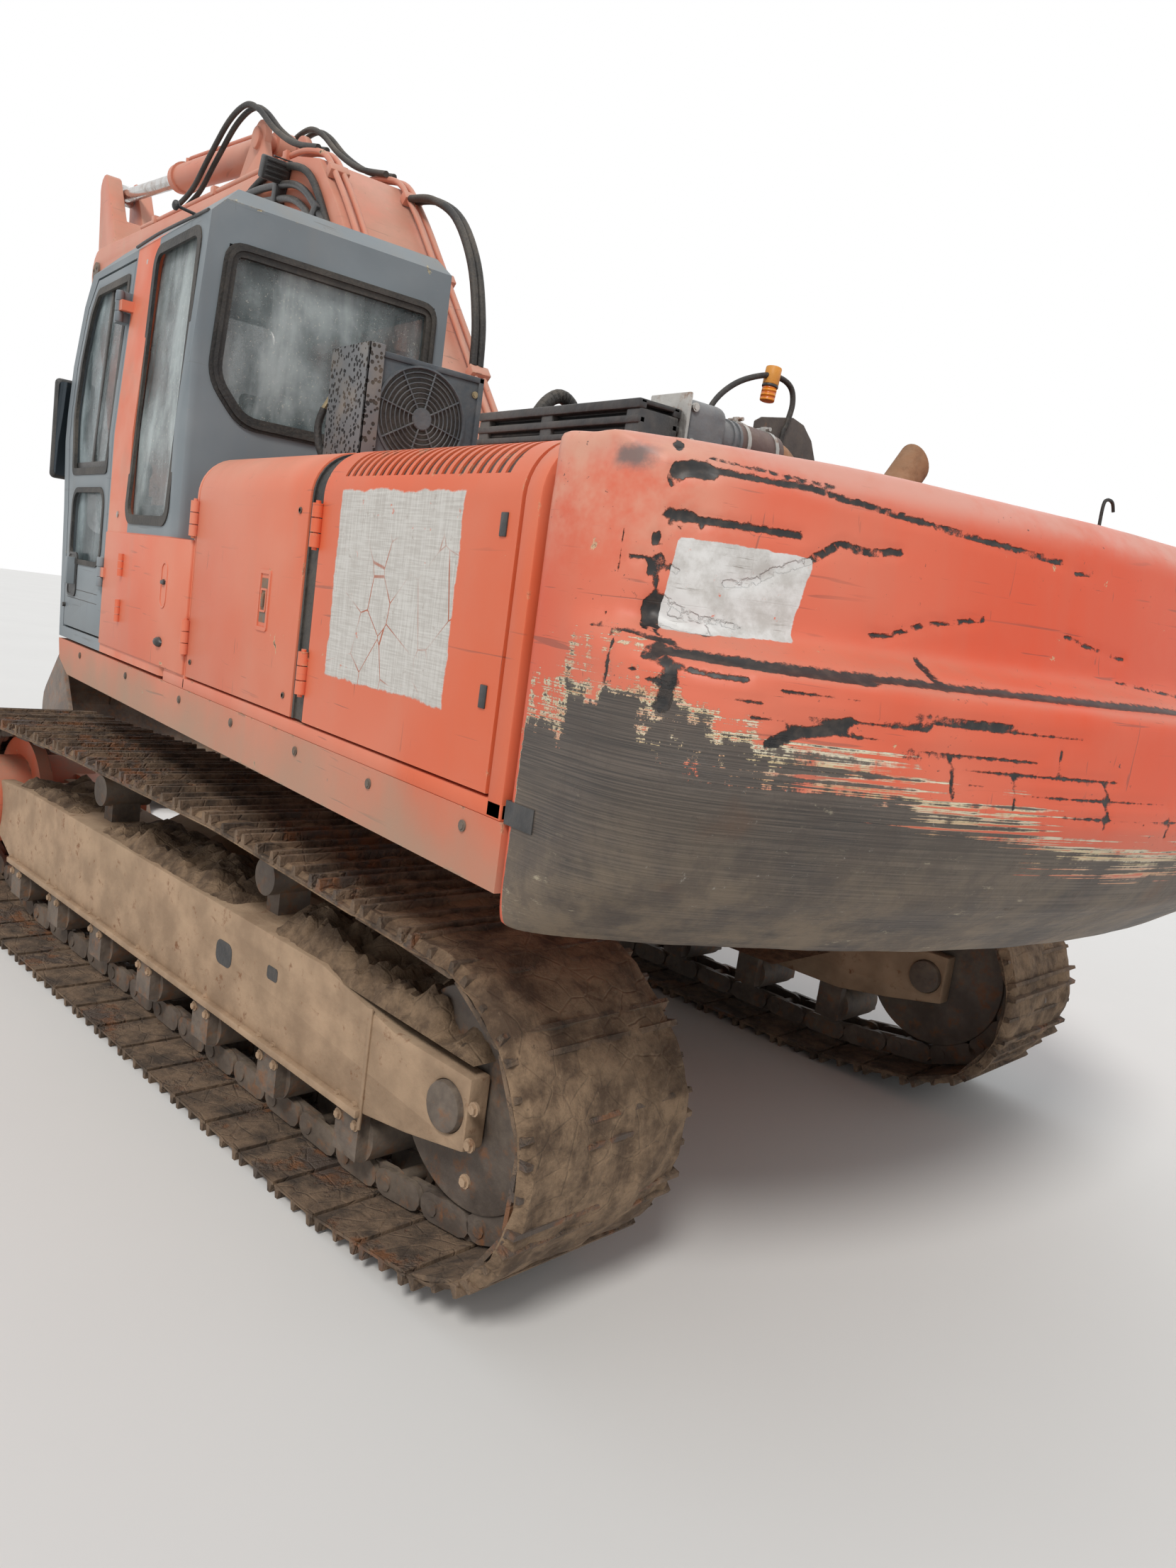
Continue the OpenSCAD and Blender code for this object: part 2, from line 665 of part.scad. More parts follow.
// Room for the knuckles in a panel
module hinge_room(x1) {
    for (z = hinge_levels) translate([x1, hinge_y, z - 1])
        cylinder(h = hinge_h + 2, r = hinge_r + seam);
}
module side_lugs(x1) { for (z = hinge_levels) middle_knuckle(x1, hinge_y, z, 1, 28, 29); }
module housing_shell(x0, x1, in) {
    difference() {
        block([-x1, in, deck_z1], [-x0, half_w, cover_top]);
        block([-x1 + cover_t, in + cover_t, deck_z1 - 1],
              [-x0 - cover_t, half_w - cover_t, cover_top - cover_t]);
    }
}
module left_housing() {
    color("orangered") {
        difference() {
            union() {
                housing_shell(cab_rear + 14, seam_x, cover_in);
                difference() {
                    housing_shell(seam_x, cw_front - 14, cover_in);
                    block([-cw_front, cover_in - 1, deck_z1 - 1],
                          [-seam_x, rear_in, cover_top + 1]);
                }
            }
            side_opening(-seam_x + 30, -front_seam);
            side_opening(-cw_front + 60, -seam_x - 30);
            hinge_room(-front_seam);
            hinge_room(-seam_x - 30);
        }
        side_lugs(-front_seam);
        side_lugs(-seam_x - 30);
    }
}
module left_front_door() { color("orangered") side_door(-seam_x + 30, -front_seam); }
module left_rear_door() { color("orangered") side_door(-cw_front + 60, -seam_x - 30); }
module condenser() {
    color("darkslategray") block([-850, cover_in + 30, cover_top], [-580, cover_in + 500, 2610]);
}
module engine_block() {
    color("gray") {
        block([-2300, -650, deck_z1 + 80], [-1560, 750, 2080]);
        for (x = [-2200, -1800], y = [-500, 500])
            block([x, y, deck_z1], [x + 120, y + 120, deck_z1 + 81]);
    }
}
module cooler() {
    color("black") block([-2330, rear_in - 130, deck_z1], [-1650, rear_in - 10, cooler_top]);
}
module charge_pipe() {
    color("gray") block([-2330, 700, 2080], [-2200, rear_in - 130, 2200]);
}
module beacon_rail() {
    color("goldenrod") translate([-2050, 400, 2080]) cylinder(h = 500, r = 40);
}
module exhaust_pipe() {
    color("sienna") translate([-2100, -250, 2080]) cylinder(h = 410, r = 65);
}
module hydraulic_tank() {
    color("orangered") block([-seam_x + 6, -half_w, deck_z1], [-tank_x, -tank_in, tank_top]);
}
module fuel_tank() {
    color("orangered") block([-tank_x + 6, -half_w, deck_z1], [fuel_x, -tank_in, cover_top]);
}
module tool_box() {
    color("orangered") block([fuel_x + 6, -half_w, deck_z1],
                             [deck_front - 100, -tank_in - 30, tool_top]);
}
module right_housing() {
    color("orangered") mirror([0, 1, 0]) {
        difference() {
            housing_shell(seam_x, cw_front - 14, pump_in);
            side_opening(-cw_front + 60, -seam_x - 30);
            hinge_room(-seam_x - 30);
        }
        side_lugs(-seam_x - 30);
    }
}
module pump_door() {
    color("orangered") mirror([0, 1, 0]) side_door(-cw_front + 60, -seam_x - 30);
}
module handrails() {
    x0 = fuel_x + 80;
    x1 = deck_front - 160;
    color("dimgray") {
        for (x = [x0, x1]) translate([x, -half_w + 60, tool_top]) cylinder(h = 700, r = 18);
        translate([x0, -half_w + 60, tool_top + 700 - 18]) rotate([0, 90, 0])
            cylinder(h = x1 - x0, r = 18);
    }
}

// Boom, in its own frame: X runs from the foot pin to the tip pin
function boom_side() = let (r0 = 210, r1 = 190) concat(
    arc([0, 0], r0, 130, 290, 8),
    [[bend_u - 150, bend_v - bend_d - 60], [bend_u + 350, bend_v - bend_d + 10]],
    arc([boom_l, 0], r1, 250, 430, 8),
    [[bend_u + 700, bend_v - 180], [bend_u + 300, bend_v - 60], [bend_u, bend_v - 30],
     [bend_u - 350, bend_v - 190]]);

module boom() {
    h = boom_w / 2;
    color("coral") along(foot, boom_rest) difference() {
        union() {
            slab(boom_side(), -h, h);
            bar([0, 0], 130, -bracket_gap / 2 + run_gap, bracket_gap / 2 - run_gap);
            bar([0, 0], pin_r, -bracket_gap / 2 - bracket_t - 20, bracket_gap / 2 + bracket_t + 20);
            bar([lift_u, lift_v], 130, -lift_y + 58 + run_gap, lift_y - 58 - run_gap);
            // Ears for the arm cylinder
            both_sides() slab(concat([[crowd_u - 450, bend_v - 380]],
                arc([crowd_u, crowd_v], 110, 180, 0, 10), [[crowd_u + 350, bend_v - 620]]),
                crowd_r + 15, crowd_r + 60);
            both_sides() bar([crowd_u, crowd_v], pin_r + 20, crowd_r + 59, crowd_r + 85);
            bar([crowd_u, crowd_v], pin_r, -crowd_r - 60, crowd_r + 60);
        }
        // Fork for the arm
        block([boom_l - fork_l, -arm_w / 2 - run_gap, -600],
              [boom_l + 300, arm_w / 2 + run_gap, 600]);
        bar([boom_l, 0], pin_r + pin_gap, -h - 10, h + 10);
    }
}
module boom_pipes() {
    color("darkslategray") along(foot, boom_rest) for (i = [0:1]) {
        y = boom_w / 2 + pipe_off;
        pipe_run([for (p = pipe_path) p + [0, -i * 75]], y);
        for (k = [0:len(pipe_path) - 2]) {
            m = (pipe_path[k] + pipe_path[k + 1]) / 2;
            block([m[0] - 30, boom_w / 2, m[1] - 115], [m[0] + 30, y + pipe_r + 6, m[1] + 35]);
        }
    }
}
module pipe_run(points, y) {
    for (k = [0:len(points) - 2]) strut(points[k], points[k + 1], y, pipe_r);
    for (q = points) bar(q, pipe_r, y - pipe_r, y + pipe_r);
}
// A cylinder's barrel and rod between two pins
module barrel_side(base, eye, y, r, len) {
    translate([0, y, 0]) along(base, heading(base, eye)) {
        difference() {
            union() {
                bar([0, 0], pin_r + 40, -eye_y, eye_y);
                rotate([0, 90, 0]) cylinder(h = 150, r = eye_y);
                translate([149, 0, 0]) rotate([0, 90, 0]) cylinder(h = len - 149, r = r);
            }
            bar([0, 0], pin_r + pin_gap, -80, 80);
            translate([250, 0, 0]) rotate([0, 90, 0]) cylinder(h = len, r = rod_r + fit_gap);
        }
    }
}
module rod_side(base, eye, y, len) {
    d = norm(eye - base);
    translate([0, y, 0]) along(base, heading(base, eye)) {
        bar([d, 0], pin_r + 38, -eye_y, eye_y);
        translate([d - len, 0, 0]) rotate([0, 90, 0]) cylinder(h = len - 10, r = rod_r);
    }
}
module boom_barrels() {
    color("darkorange") both_sides() {
        barrel_side(lift_base, lift_eye, lift_y, lift_r, lift_len);
        bar(lift_base, pin_r, lift_y - fork_y - fork_t - 8, lift_y + fork_y + fork_t + 6);
    }
}
module boom_rods() {
    color("silver") both_sides() rod_side(lift_base, lift_eye, lift_y, lift_rod);
}
module arm_barrel() { color("coral") barrel_side(crowd_base, crowd_eye, 0, crowd_r, crowd_len); }
module arm_rod() { color("silver") rod_side(crowd_base, crowd_eye, 0, crowd_rod); }
module bucket_barrel() { color("coral") barrel_side(curl_base, knee, 0, curl_r, curl_len); }
module bucket_rod() { color("silver") rod_side(curl_base, knee, 0, curl_rod); }

// Arm, in its own frame: X runs from the foot pin to the bucket pin
function arm_side() = concat(
    arc([-tail_u, 0], 120, 90, 250, 6), [[-150, -205], [200, -205], [1400, -205]],
    arc([arm_l, 0], 118, 262, 450, 8), [[rock_u, 165], [500, 400], [-100, 400]]);
module arm() {
    h = arm_w / 2;
    color("coral") along(tip, arm_rest) difference() {
        union() {
            slab(arm_side(), -h, h);
            bar([0, 0], pin_r, -boom_w / 2 - 15, boom_w / 2 + 15);
            both_sides() slab(concat([[curl_u + 350, 350]],
                arc([curl_u, curl_v], 100, 0, 180, 10), [[curl_u - 180, 350]]),
                curl_r + 12, curl_r + 55);
            bar([curl_u, curl_v], pin_r, -curl_r - 70, curl_r + 70);
            bar([rock_u, rock_v], pin_r, -rock_y - rock_t - 12, rock_y + rock_t + 12);
            bar([arm_l, 0], pin_r, -ear_y - ear_t - 4, ear_y + ear_t + 4);
        }
        // Slot for the rod's eye
        block([-tail_u - 200, -eye_y - run_gap, -220],
              [-tail_u + 400, eye_y + run_gap, 300]);
    }
}
module rocker() {
    a = heading(rock_pin, knee);
    color("sienna") both_sides() difference() {
        union() {
            along(rock_pin, a) {
                slab(concat(arc([0, 0], 85, 90, 270, 8), arc([rocker_l, 0], 80, -90, 90, 8)),
                     rock_y, rock_y + rock_t);
                bar([0, 0], 80, ear_y, rock_y + 1);
                bar([rocker_l, 0], 75, ear_y, rock_y + 1);
            }
        }
        bar(rock_pin, pin_r + pin_gap, ear_y - 5, rock_y + rock_t + 5);
    }
}
module bucket_link() {
    a = heading(ear_pin, knee);
    in = eye_y + run_gap;
    color("sienna") difference() {
        along(ear_pin, a) union() {
            both_sides() slab(concat(arc([0, 0], 80, 90, 270, 8),
                arc([link_l, 0], 75, -90, 90, 8)), in, arm_w / 2);
            block([180, -in - 1, -50], [link_l - 200, in + 1, 50]);
        }
        bar(ear_pin, pin_r + pin_gap, -arm_w, arm_w);
    }
}

// Bucket, in its own frame: X runs from the bucket pin to the tooth tips, Z to the outside
function bucket_outline(in) = concat(
    arc([480, 470], 350 - in, 48, 150, 8), [[mouth_u + in, 560]]);
module bucket() {
    h = bucket_w / 2;
    color("dimgray") along(hook, bucket_rest) {
        difference() {
            slab(concat([[mouth_u, 60], [tip_r - 190, 10], [tip_r - 170, 35]],
                        bucket_outline(0)), -h, h);
            slab(concat([[mouth_u + bucket_t, -20], [tip_r - 100, -40],
                         [tip_r - 190 - bucket_t, 50]], bucket_outline(bucket_t)),
                 -h + bucket_t, h - bucket_t);
        }
        for (i = [0:4])
            slab([[tip_r - 240, 10], [tip_r, -5], [tip_r, 8], [tip_r - 240, 85]],
                 -h + 50 + (bucket_w - 200) * i / 4, -h + 150 + (bucket_w - 200) * i / 4);
        both_sides() difference() {
            slab(concat([[-90, -75]], arc([0, 0], 110, 225, 300, 4),
                [[mouth_u + 30, 100], [mouth_u + 30, 560], [250, 680]],
                arc([-ear_u, ear_v], 105, 60, 180, 6)), ear_y, ear_y + ear_t);
            bar([0, 0], pin_r + pin_gap, 0, h);
        }
        bar([-ear_u, ear_v], pin_r, -ear_y - ear_t, ear_y + ear_t);
    }
}

car_body();
swing_bearing();
track_frame_left();
track_frame_right();
track_left();
track_right();
final_drives();
idlers();
rollers();
main_frame();
counterweight();
cab_shell();
cab_glass();
operator_seat();
cab_door();
cab_door_glass();
side_mirror();
left_housing();
left_front_door();
left_rear_door();
condenser();
engine_block();
cooler();
charge_pipe();
beacon_rail();
exhaust_pipe();
hydraulic_tank();
fuel_tank();
tool_box();
right_housing();
pump_door();
handrails();
boom();
boom_pipes();
boom_barrels();
boom_rods();
arm();
arm_barrel();
arm_rod();
bucket_barrel();
bucket_rod();
rocker();
bucket_link();
bucket();
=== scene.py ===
"""Looks of the crawler excavator: finishes, rounded panels, hoses, cab fittings, tracks and mud.

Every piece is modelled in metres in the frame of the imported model, +X forward, +Y to the cab side.
"""

import json
import math
import random

import bmesh
import bpy
import numpy as np
from mathutils import Matrix, Vector, noise


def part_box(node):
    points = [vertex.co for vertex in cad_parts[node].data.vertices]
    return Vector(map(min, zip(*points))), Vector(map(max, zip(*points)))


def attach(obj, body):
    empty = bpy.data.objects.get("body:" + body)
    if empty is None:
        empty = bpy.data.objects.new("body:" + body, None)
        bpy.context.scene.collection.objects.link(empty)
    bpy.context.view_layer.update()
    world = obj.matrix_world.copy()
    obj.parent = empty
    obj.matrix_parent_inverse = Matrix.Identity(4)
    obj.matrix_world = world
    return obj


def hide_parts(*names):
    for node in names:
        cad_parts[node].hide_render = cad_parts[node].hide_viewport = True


bl_info = {
    "name": "Crawler Excavator",
    "version": (1, 0, 0),
    "blender": (4, 5, 0),
    "location": "View3D > Sidebar > Excavator",
    "description": "Dresses the packed excavator with its finishes and fittings",
    "category": "Object",
}

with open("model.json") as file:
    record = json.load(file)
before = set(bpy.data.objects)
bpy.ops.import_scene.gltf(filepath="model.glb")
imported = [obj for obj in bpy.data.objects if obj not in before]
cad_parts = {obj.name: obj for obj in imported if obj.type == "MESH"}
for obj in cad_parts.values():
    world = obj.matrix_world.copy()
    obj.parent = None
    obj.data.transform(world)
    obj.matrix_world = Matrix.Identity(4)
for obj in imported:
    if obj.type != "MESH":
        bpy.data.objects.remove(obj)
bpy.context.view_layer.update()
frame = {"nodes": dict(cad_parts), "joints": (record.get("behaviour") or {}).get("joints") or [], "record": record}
PIN = {j["name"]: Vector(j["pos_m"]) for j in frame["joints"] if "pos_m" in j}
BODY = {node: body for body, nodes in frame["record"]["behaviour"]["bodies"].items() for node in nodes}

# Sides and heights that many pieces share, taken from the frame
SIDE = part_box("main_frame")[1].y
DECK_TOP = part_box("left_housing")[0].z
COVER_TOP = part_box("left_housing")[1].z
CAB_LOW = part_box("cab_shell")[0]
WEIGHT_LOW, WEIGHT_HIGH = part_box("counterweight")
SWING_R = -WEIGHT_LOW.x


def pin_frame(origin, target):
    """A matrix whose X runs from one pin to another in the XZ plane."""
    step = target - origin
    return Matrix.Translation(origin) @ Matrix.Rotation(-math.atan2(step.z, step.x), 4, "Y")


# The tilted frames of the boom and the arm, worked out from their pins, and the turn of the tracks
BOOM = pin_frame(PIN["boom_foot"], PIN["arm_foot"])
ARM = pin_frame(PIN["arm_foot"], PIN["bucket_pin"])
TRACK_TURN = Matrix.Rotation(math.radians(7), 4, "Z")


# Shapes, each added to a bmesh


def stamp(bm, unit, places):
    """Adds a unit's shape at each of some places."""
    mesh = bpy.data.meshes.new("unit")
    unit.to_mesh(mesh)
    for place in places:
        mesh.transform(place)
        bm.from_mesh(mesh)
        mesh.transform(place.inverted())
    unit.free()
    bpy.data.meshes.remove(mesh)


def meshes(count):
    """Some empty bmeshes."""
    return [bmesh.new() for _ in range(count)]


def bevelled(bm, edges, width, segments=2, clamp=True):
    """Rounds some edges and gives the new vertices."""
    return bmesh.ops.bevel(bm, geom=edges, offset=width, segments=segments, profile=0.5, affect="EDGES",
                           clamp_overlap=clamp, material=-1)["verts"]


def block(bm, low, high, bevel=0.0, turn=None, segments=2):
    """A box between two corners, with rounded edges, turned about its middle."""
    low, high = Vector(low), Vector(high)
    size = high - low
    made = bmesh.ops.create_cube(bm, size=1.0)["verts"]
    bmesh.ops.scale(bm, vec=size, verts=made)
    if bevel:
        edges = list({e for v in made for e in v.link_edges})
        made = bevelled(bm, edges, bevel, segments, False)
    move = Matrix.Translation((low + high) / 2)
    placed(bm, made, move @ turn if turn else move)
    return made


def rod(bm, start, end, radius, sides=16, end_radius=None):
    """A straight round bar or cone between two points."""
    start, end = Vector(start), Vector(end)
    step = end - start
    turn = step.to_track_quat("Z", "Y").to_matrix().to_4x4()
    return bmesh.ops.create_cone(
        bm, cap_ends=True, segments=sides, radius1=radius,
        radius2=radius if end_radius is None else end_radius, depth=step.length,
        matrix=Matrix.Translation((start + end) / 2) @ turn)["verts"]


def smooth_path(points, steps=6, closed=False):
    """Points on a smooth curve through the given ones."""
    points = [Vector(p) for p in points]
    if len(points) < 3:
        return points
    count = len(points)
    found = []
    for i in range(count if closed else count - 1):
        a = points[(i - 1) % count] if closed or i else points[0]
        b, c = points[i], points[(i + 1) % count]
        d = points[(i + 2) % count] if closed or i + 2 < count else c
        for k in range(steps):
            t = k / steps
            found.append(0.5 * (2 * b + (c - a) * t + (2 * a - 5 * b + 4 * c - d) * t * t
                                + (3 * b - a - 3 * c + d) * t ** 3))
    return found if closed else found + [points[-1]]


def hose(bm, points, radius, sides=10, steps=6, closed=False, smooth=True):
    """A round tube along a smooth path: a ring that is extruded from frame to frame."""
    path = smooth_path(points, steps, closed) if smooth else [Vector(p) for p in points]
    frames = []
    normal = None
    for i, here in enumerate(path):
        ahead = path[(i + 1) % len(path)] if closed or i + 1 < len(path) else here
        behind = path[i - 1] if closed or i else here
        along = (ahead - behind).normalized()
        normal = along.orthogonal() if normal is None else normal - along * normal.dot(along)
        normal.normalize()
        basis = Matrix((normal, along.cross(normal), along)).transposed().to_4x4()
        frames.append(Matrix.Translation(here) @ basis)
    first = bmesh.ops.create_circle(
        bm, cap_ends=False, segments=sides, radius=radius, matrix=frames[0])["verts"]
    start = list({e for v in first for e in v.link_edges})
    ring, made = start, list(first)
    for before, after in zip(frames, frames[1:]):
        grown = bmesh.ops.extrude_edge_only(bm, edges=ring)["geom"]
        verts = [v for v in grown if isinstance(v, bmesh.types.BMVert)]
        bmesh.ops.transform(bm, matrix=after @ before.inverted(), verts=verts)
        ring = [e for e in grown if isinstance(e, bmesh.types.BMEdge) and all(v in verts for v in e.verts)]
        made += verts
    if closed:
        faces = bmesh.ops.bridge_loops(bm, edges=start + ring)["faces"]
    else:
        faces = bmesh.ops.edgeloop_fill(bm, edges=start)["faces"]
        faces += bmesh.ops.edgeloop_fill(bm, edges=ring)["faces"]
    around = list({f for v in made for f in v.link_faces} | set(faces))
    bmesh.ops.recalc_face_normals(bm, faces=around)
    return made


def placed(bm, made, matrix):
    """Moves new vertices by a matrix."""
    bmesh.ops.transform(bm, matrix=matrix, verts=made)


def flat_face(bm, points):
    """One face from an outline in XY, that looks down."""
    face = bm.faces.new([bm.verts.new((p[0], p[1], 0)) for p in points])
    face.normal_update()
    if face.normal.z > 0:
        face.normal_flip()
    return face


def plate(bm, points, thickness, matrix=None):
    """A flat outline in XY, raised along Z by its thickness, then placed."""
    face = flat_face(bm, points)
    base = face.verts[:]
    raised = bmesh.ops.extrude_face_region(bm, geom=[face], use_keep_orig=True)["geom"]
    top = [v for v in raised if isinstance(v, bmesh.types.BMVert)]
    bmesh.ops.translate(bm, vec=(0, 0, thickness), verts=top)
    made = base + top
    bmesh.ops.recalc_face_normals(bm, faces=list({f for v in made for f in v.link_faces}))
    if matrix:
        placed(bm, made, matrix)
    return made


def arc(centre, radius, start, end, count=8):
    """Points of a flat arc, its angles in degrees."""
    return [(centre[0] + radius * math.cos(math.radians(start + (end - start) * i / count)),
             centre[1] + radius * math.sin(math.radians(start + (end - start) * i / count)))
            for i in range(count + 1)]


def rounded(x0, y0, x1, y1, r, count=5):
    """A rectangle's outline with round corners."""
    return (arc((x1 - r, y1 - r), r, 0, 90, count) + arc((x0 + r, y1 - r), r, 90, 180, count)
            + arc((x0 + r, y0 + r), r, 180, 270, count) + arc((x1 - r, y0 + r), r, 270, 360, count))


def ball(bm, centre, radius, scale=(1, 1, 1), detail=12):
    """A round knob, squashed or stretched by a scale."""
    matrix = Matrix.Translation(centre) @ Matrix.Diagonal((*scale, 1))
    return bmesh.ops.create_uvsphere(
        bm, u_segments=detail, v_segments=max(6, detail // 2), radius=radius, matrix=matrix)["verts"]


def bolt(bm, centre, normal, radius=0.014, height=0.012):
    """A hexagon bolt head that stands on a face."""
    centre, normal = Vector(centre), Vector(normal).normalized()
    rod(bm, centre - normal * 0.003, centre + normal * 0.004, radius * 1.5, 10)
    rod(bm, centre, centre + normal * height, radius, 6)


# Axes that stand a flat outline up: in the XZ plane, and in the YZ plane
XZ = Matrix(((1, 0, 0, 0), (0, 0, 1, 0), (0, 1, 0, 0), (0, 0, 0, 1)))
YZ = Matrix(((0, 0, 1, 0), (1, 0, 0, 0), (0, 1, 0, 0), (0, 0, 0, 1)))


def on_side(y):
    """Puts a flat outline, given along X and Z, on a plane across Y, raised outwards to +Y."""
    return Matrix.Translation((0, y, 0)) @ XZ


def on_front(x):
    """Puts a flat outline, given along Y and Z, on a plane across X, raised towards +X."""
    return Matrix.Translation((x, 0, 0)) @ YZ


# Pieces


def soft_edges(bm, angle=32):
    """Smooth shading with the sharp edges kept."""
    for face in bm.faces:
        face.smooth = True
    limit = math.radians(angle)
    for edge in bm.edges:
        edge.smooth = edge.is_manifold and edge.calc_face_angle(0) < limit


def piece(name, bm, body, paint, angle=32, node=None, outward=True):
    """Turns a bmesh into an object that rides on a body, and that may stand for a CAD node."""
    if outward:
        bmesh.ops.recalc_face_normals(bm, faces=bm.faces[:])
    soft_edges(bm, angle)
    mesh = bpy.data.meshes.new(name)
    bm.to_mesh(mesh)
    bm.free()
    made = bpy.data.objects.new(name, mesh)
    bpy.context.scene.collection.objects.link(made)
    made.data.materials.append(PAINTS[paint])
    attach(made, body)
    if node:
        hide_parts(node)
    return made


def node_copy(node):
    """A CAD node's own shape as a clean bmesh."""
    bm = bmesh.new()
    bm.from_mesh(frame["nodes"][node].data)
    bmesh.ops.remove_doubles(bm, verts=bm.verts[:], dist=2e-5)
    bmesh.ops.dissolve_limit(
        bm, angle_limit=math.radians(0.6), use_dissolve_boundaries=False,
        verts=bm.verts[:], edges=bm.edges[:])
    return bm


# Folded area past which a bevel is made again narrower, and the smallest triangle that counts
FOLD_LIMIT, SMALL_FACE = 0.0004, 2e-6


def folded_area(bm):
    """The area of the triangles that turn over when a bmesh's faces are cut into triangles."""
    total = 0.0
    bm.normal_update()
    for corners in bm.calc_loop_triangles():
        a, b, c = (loop.vert.co for loop in corners)
        across = (b - a).cross(c - a)
        if across.length > SMALL_FACE and across.normalized().dot(corners[0].face.normal) < 0.3:
            total += across.length / 2
    return total


def dressed(node, paint, width):
    """A copy of a CAD node with its edges rounded as far as its faces stay unfolded."""
    limit = math.radians(40)
    for share in (1.0, 0.5, 0.25, 0.0):
        bm = node_copy(node)
        sharp = [e for e in bm.edges if e.is_manifold and e.calc_face_angle(0) > limit]
        if share and sharp:
            bevelled(bm, sharp, width * share, clamp=False)
        if not share or folded_area(bm) < FOLD_LIMIT:
            break
        bm.free()
    piece(node + "_look", bm, BODY[node], paint, node=node, outward=False)


# Finishes


class Value:
    """A socket of a finish, or a number, with its sums as Math nodes."""

    def __init__(self, finish, out):
        self.finish, self.out = finish, out

    def math(self, operation, *others, clamp=False):
        values = dict(enumerate((self, *others)))
        node = self.finish.node("ShaderNodeMath", {"operation": operation, "use_clamp": clamp}, values)
        return Value(self.finish, node.outputs[0])

    def __add__(self, other):
        return self.math("ADD", other)

    def __sub__(self, other):
        return self.math("SUBTRACT", other)

    def __mul__(self, other):
        return self.math("MULTIPLY", other)

    def __rsub__(self, other):
        return (self * -1.0) + other

    def __neg__(self):
        return self * -1.0

    __radd__, __rmul__ = __add__, __mul__

    def clamp(self):
        return self.math("ADD", 0.0, clamp=True)

    def most(self, other):
        return self.math("MAXIMUM", other)

    def step(self, low, high):
        """A smooth step from 0 at low to 1 at high."""
        node = self.finish.node(
            "ShaderNodeMapRange", {"interpolation_type": "SMOOTHSTEP", "clamp": True},
            {"Value": self, "From Min": min(low, high), "From Max": max(low, high)})
        made = Value(self.finish, node.outputs[0])
        return made if low < high else 1 - made


class Finish:
    """A material with one Principled shader, and the nodes that feed it."""

    def __init__(self, name):
        self.material = bpy.data.materials.new(name)
        self.material.use_nodes = True
        self.tree = self.material.node_tree
        self.tree.nodes.clear()
        self.shader = self.node("ShaderNodeBsdfPrincipled")
        output = self.node("ShaderNodeOutputMaterial")
        self.tree.links.new(self.shader.outputs[0], output.inputs[0])
        self.place = self.node("ShaderNodeTexCoord").outputs["Object"]
        parts = self.node("ShaderNodeSeparateXYZ", values={0: self.place})
        self.x, self.y, self.z = (Value(self, parts.outputs[i]) for i in range(3))
        geometry = self.node("ShaderNodeNewGeometry")
        facing = self.node("ShaderNodeSeparateXYZ", values={0: geometry.outputs["Normal"]})
        self.face = [Value(self, facing.outputs[i]) for i in range(3)]

    def node(self, kind, settings=None, values=None):
        """A node with its settings made first, then its sockets."""
        made = self.tree.nodes.new(kind)
        for key, value in (settings or {}).items():
            setattr(made, key, value)
        for key, value in (values or {}).items():
            socket = made.inputs[key]
            if isinstance(value, Value):
                value = value.out
            if isinstance(value, bpy.types.NodeSocket):
                self.tree.links.new(value, socket)
            else:
                socket.default_value = value
        return made

    def noise(self, scale, detail=4.0, rough=0.55, stretch=(1, 1, 1), twist=0.0):
        where = self.place
        if stretch != (1, 1, 1):
            where = self.node("ShaderNodeMapping", values={"Vector": where, "Scale": stretch}).outputs[0]
        node = self.node("ShaderNodeTexNoise", values={
            "Vector": where, "Scale": scale, "Detail": detail, "Roughness": rough, "Distortion": twist})
        return Value(self, node.outputs[0])

    def cells(self, scale, feature="F1", stretch=(1, 1, 1)):
        where = self.node("ShaderNodeMapping", values={"Vector": self.place, "Scale": stretch}).outputs[0]
        node = self.node("ShaderNodeTexVoronoi", {"feature": feature}, {"Vector": where, "Scale": scale})
        return Value(self, node.outputs[0])

    def attribute(self, name):
        node = self.node("ShaderNodeAttribute", {"attribute_name": name})
        return Value(self, node.outputs["Fac"])

    def mix(self, first, second, factor):
        """One colour over another by a factor."""
        colours = [(*c, 1.0) if isinstance(c, tuple) and len(c) == 3 else c for c in (first, second)]
        node = self.node("ShaderNodeMix", {"data_type": "RGBA"}, {0: factor, 6: colours[0], 7: colours[1]})
        return node.outputs[2]

    def bump(self, height, distance, strength=1.0):
        values = {"Height": height, "Distance": distance, "Strength": strength}
        return self.node("ShaderNodeBump", values=values).outputs[0]

    def done(self, colour=None, rough=None, metal=None, normal=None, alpha=None):
        """Joins what was worked out to the shader."""
        for name, value in (("Base Color", colour), ("Roughness", rough), ("Metallic", metal),
                            ("Normal", normal), ("Alpha", alpha)):
            if value is None:
                continue
            value = value.out if isinstance(value, Value) else value
            if isinstance(value, bpy.types.NodeSocket):
                self.tree.links.new(value, self.shader.inputs[name])
            else:
                self.shader.inputs[name].default_value = value
        return self.material


DUST = (0.36, 0.285, 0.205)
PRIMER = (0.62, 0.52, 0.3)
SCRAPED = (0.06, 0.052, 0.046)
RUST = (0.2, 0.085, 0.035)


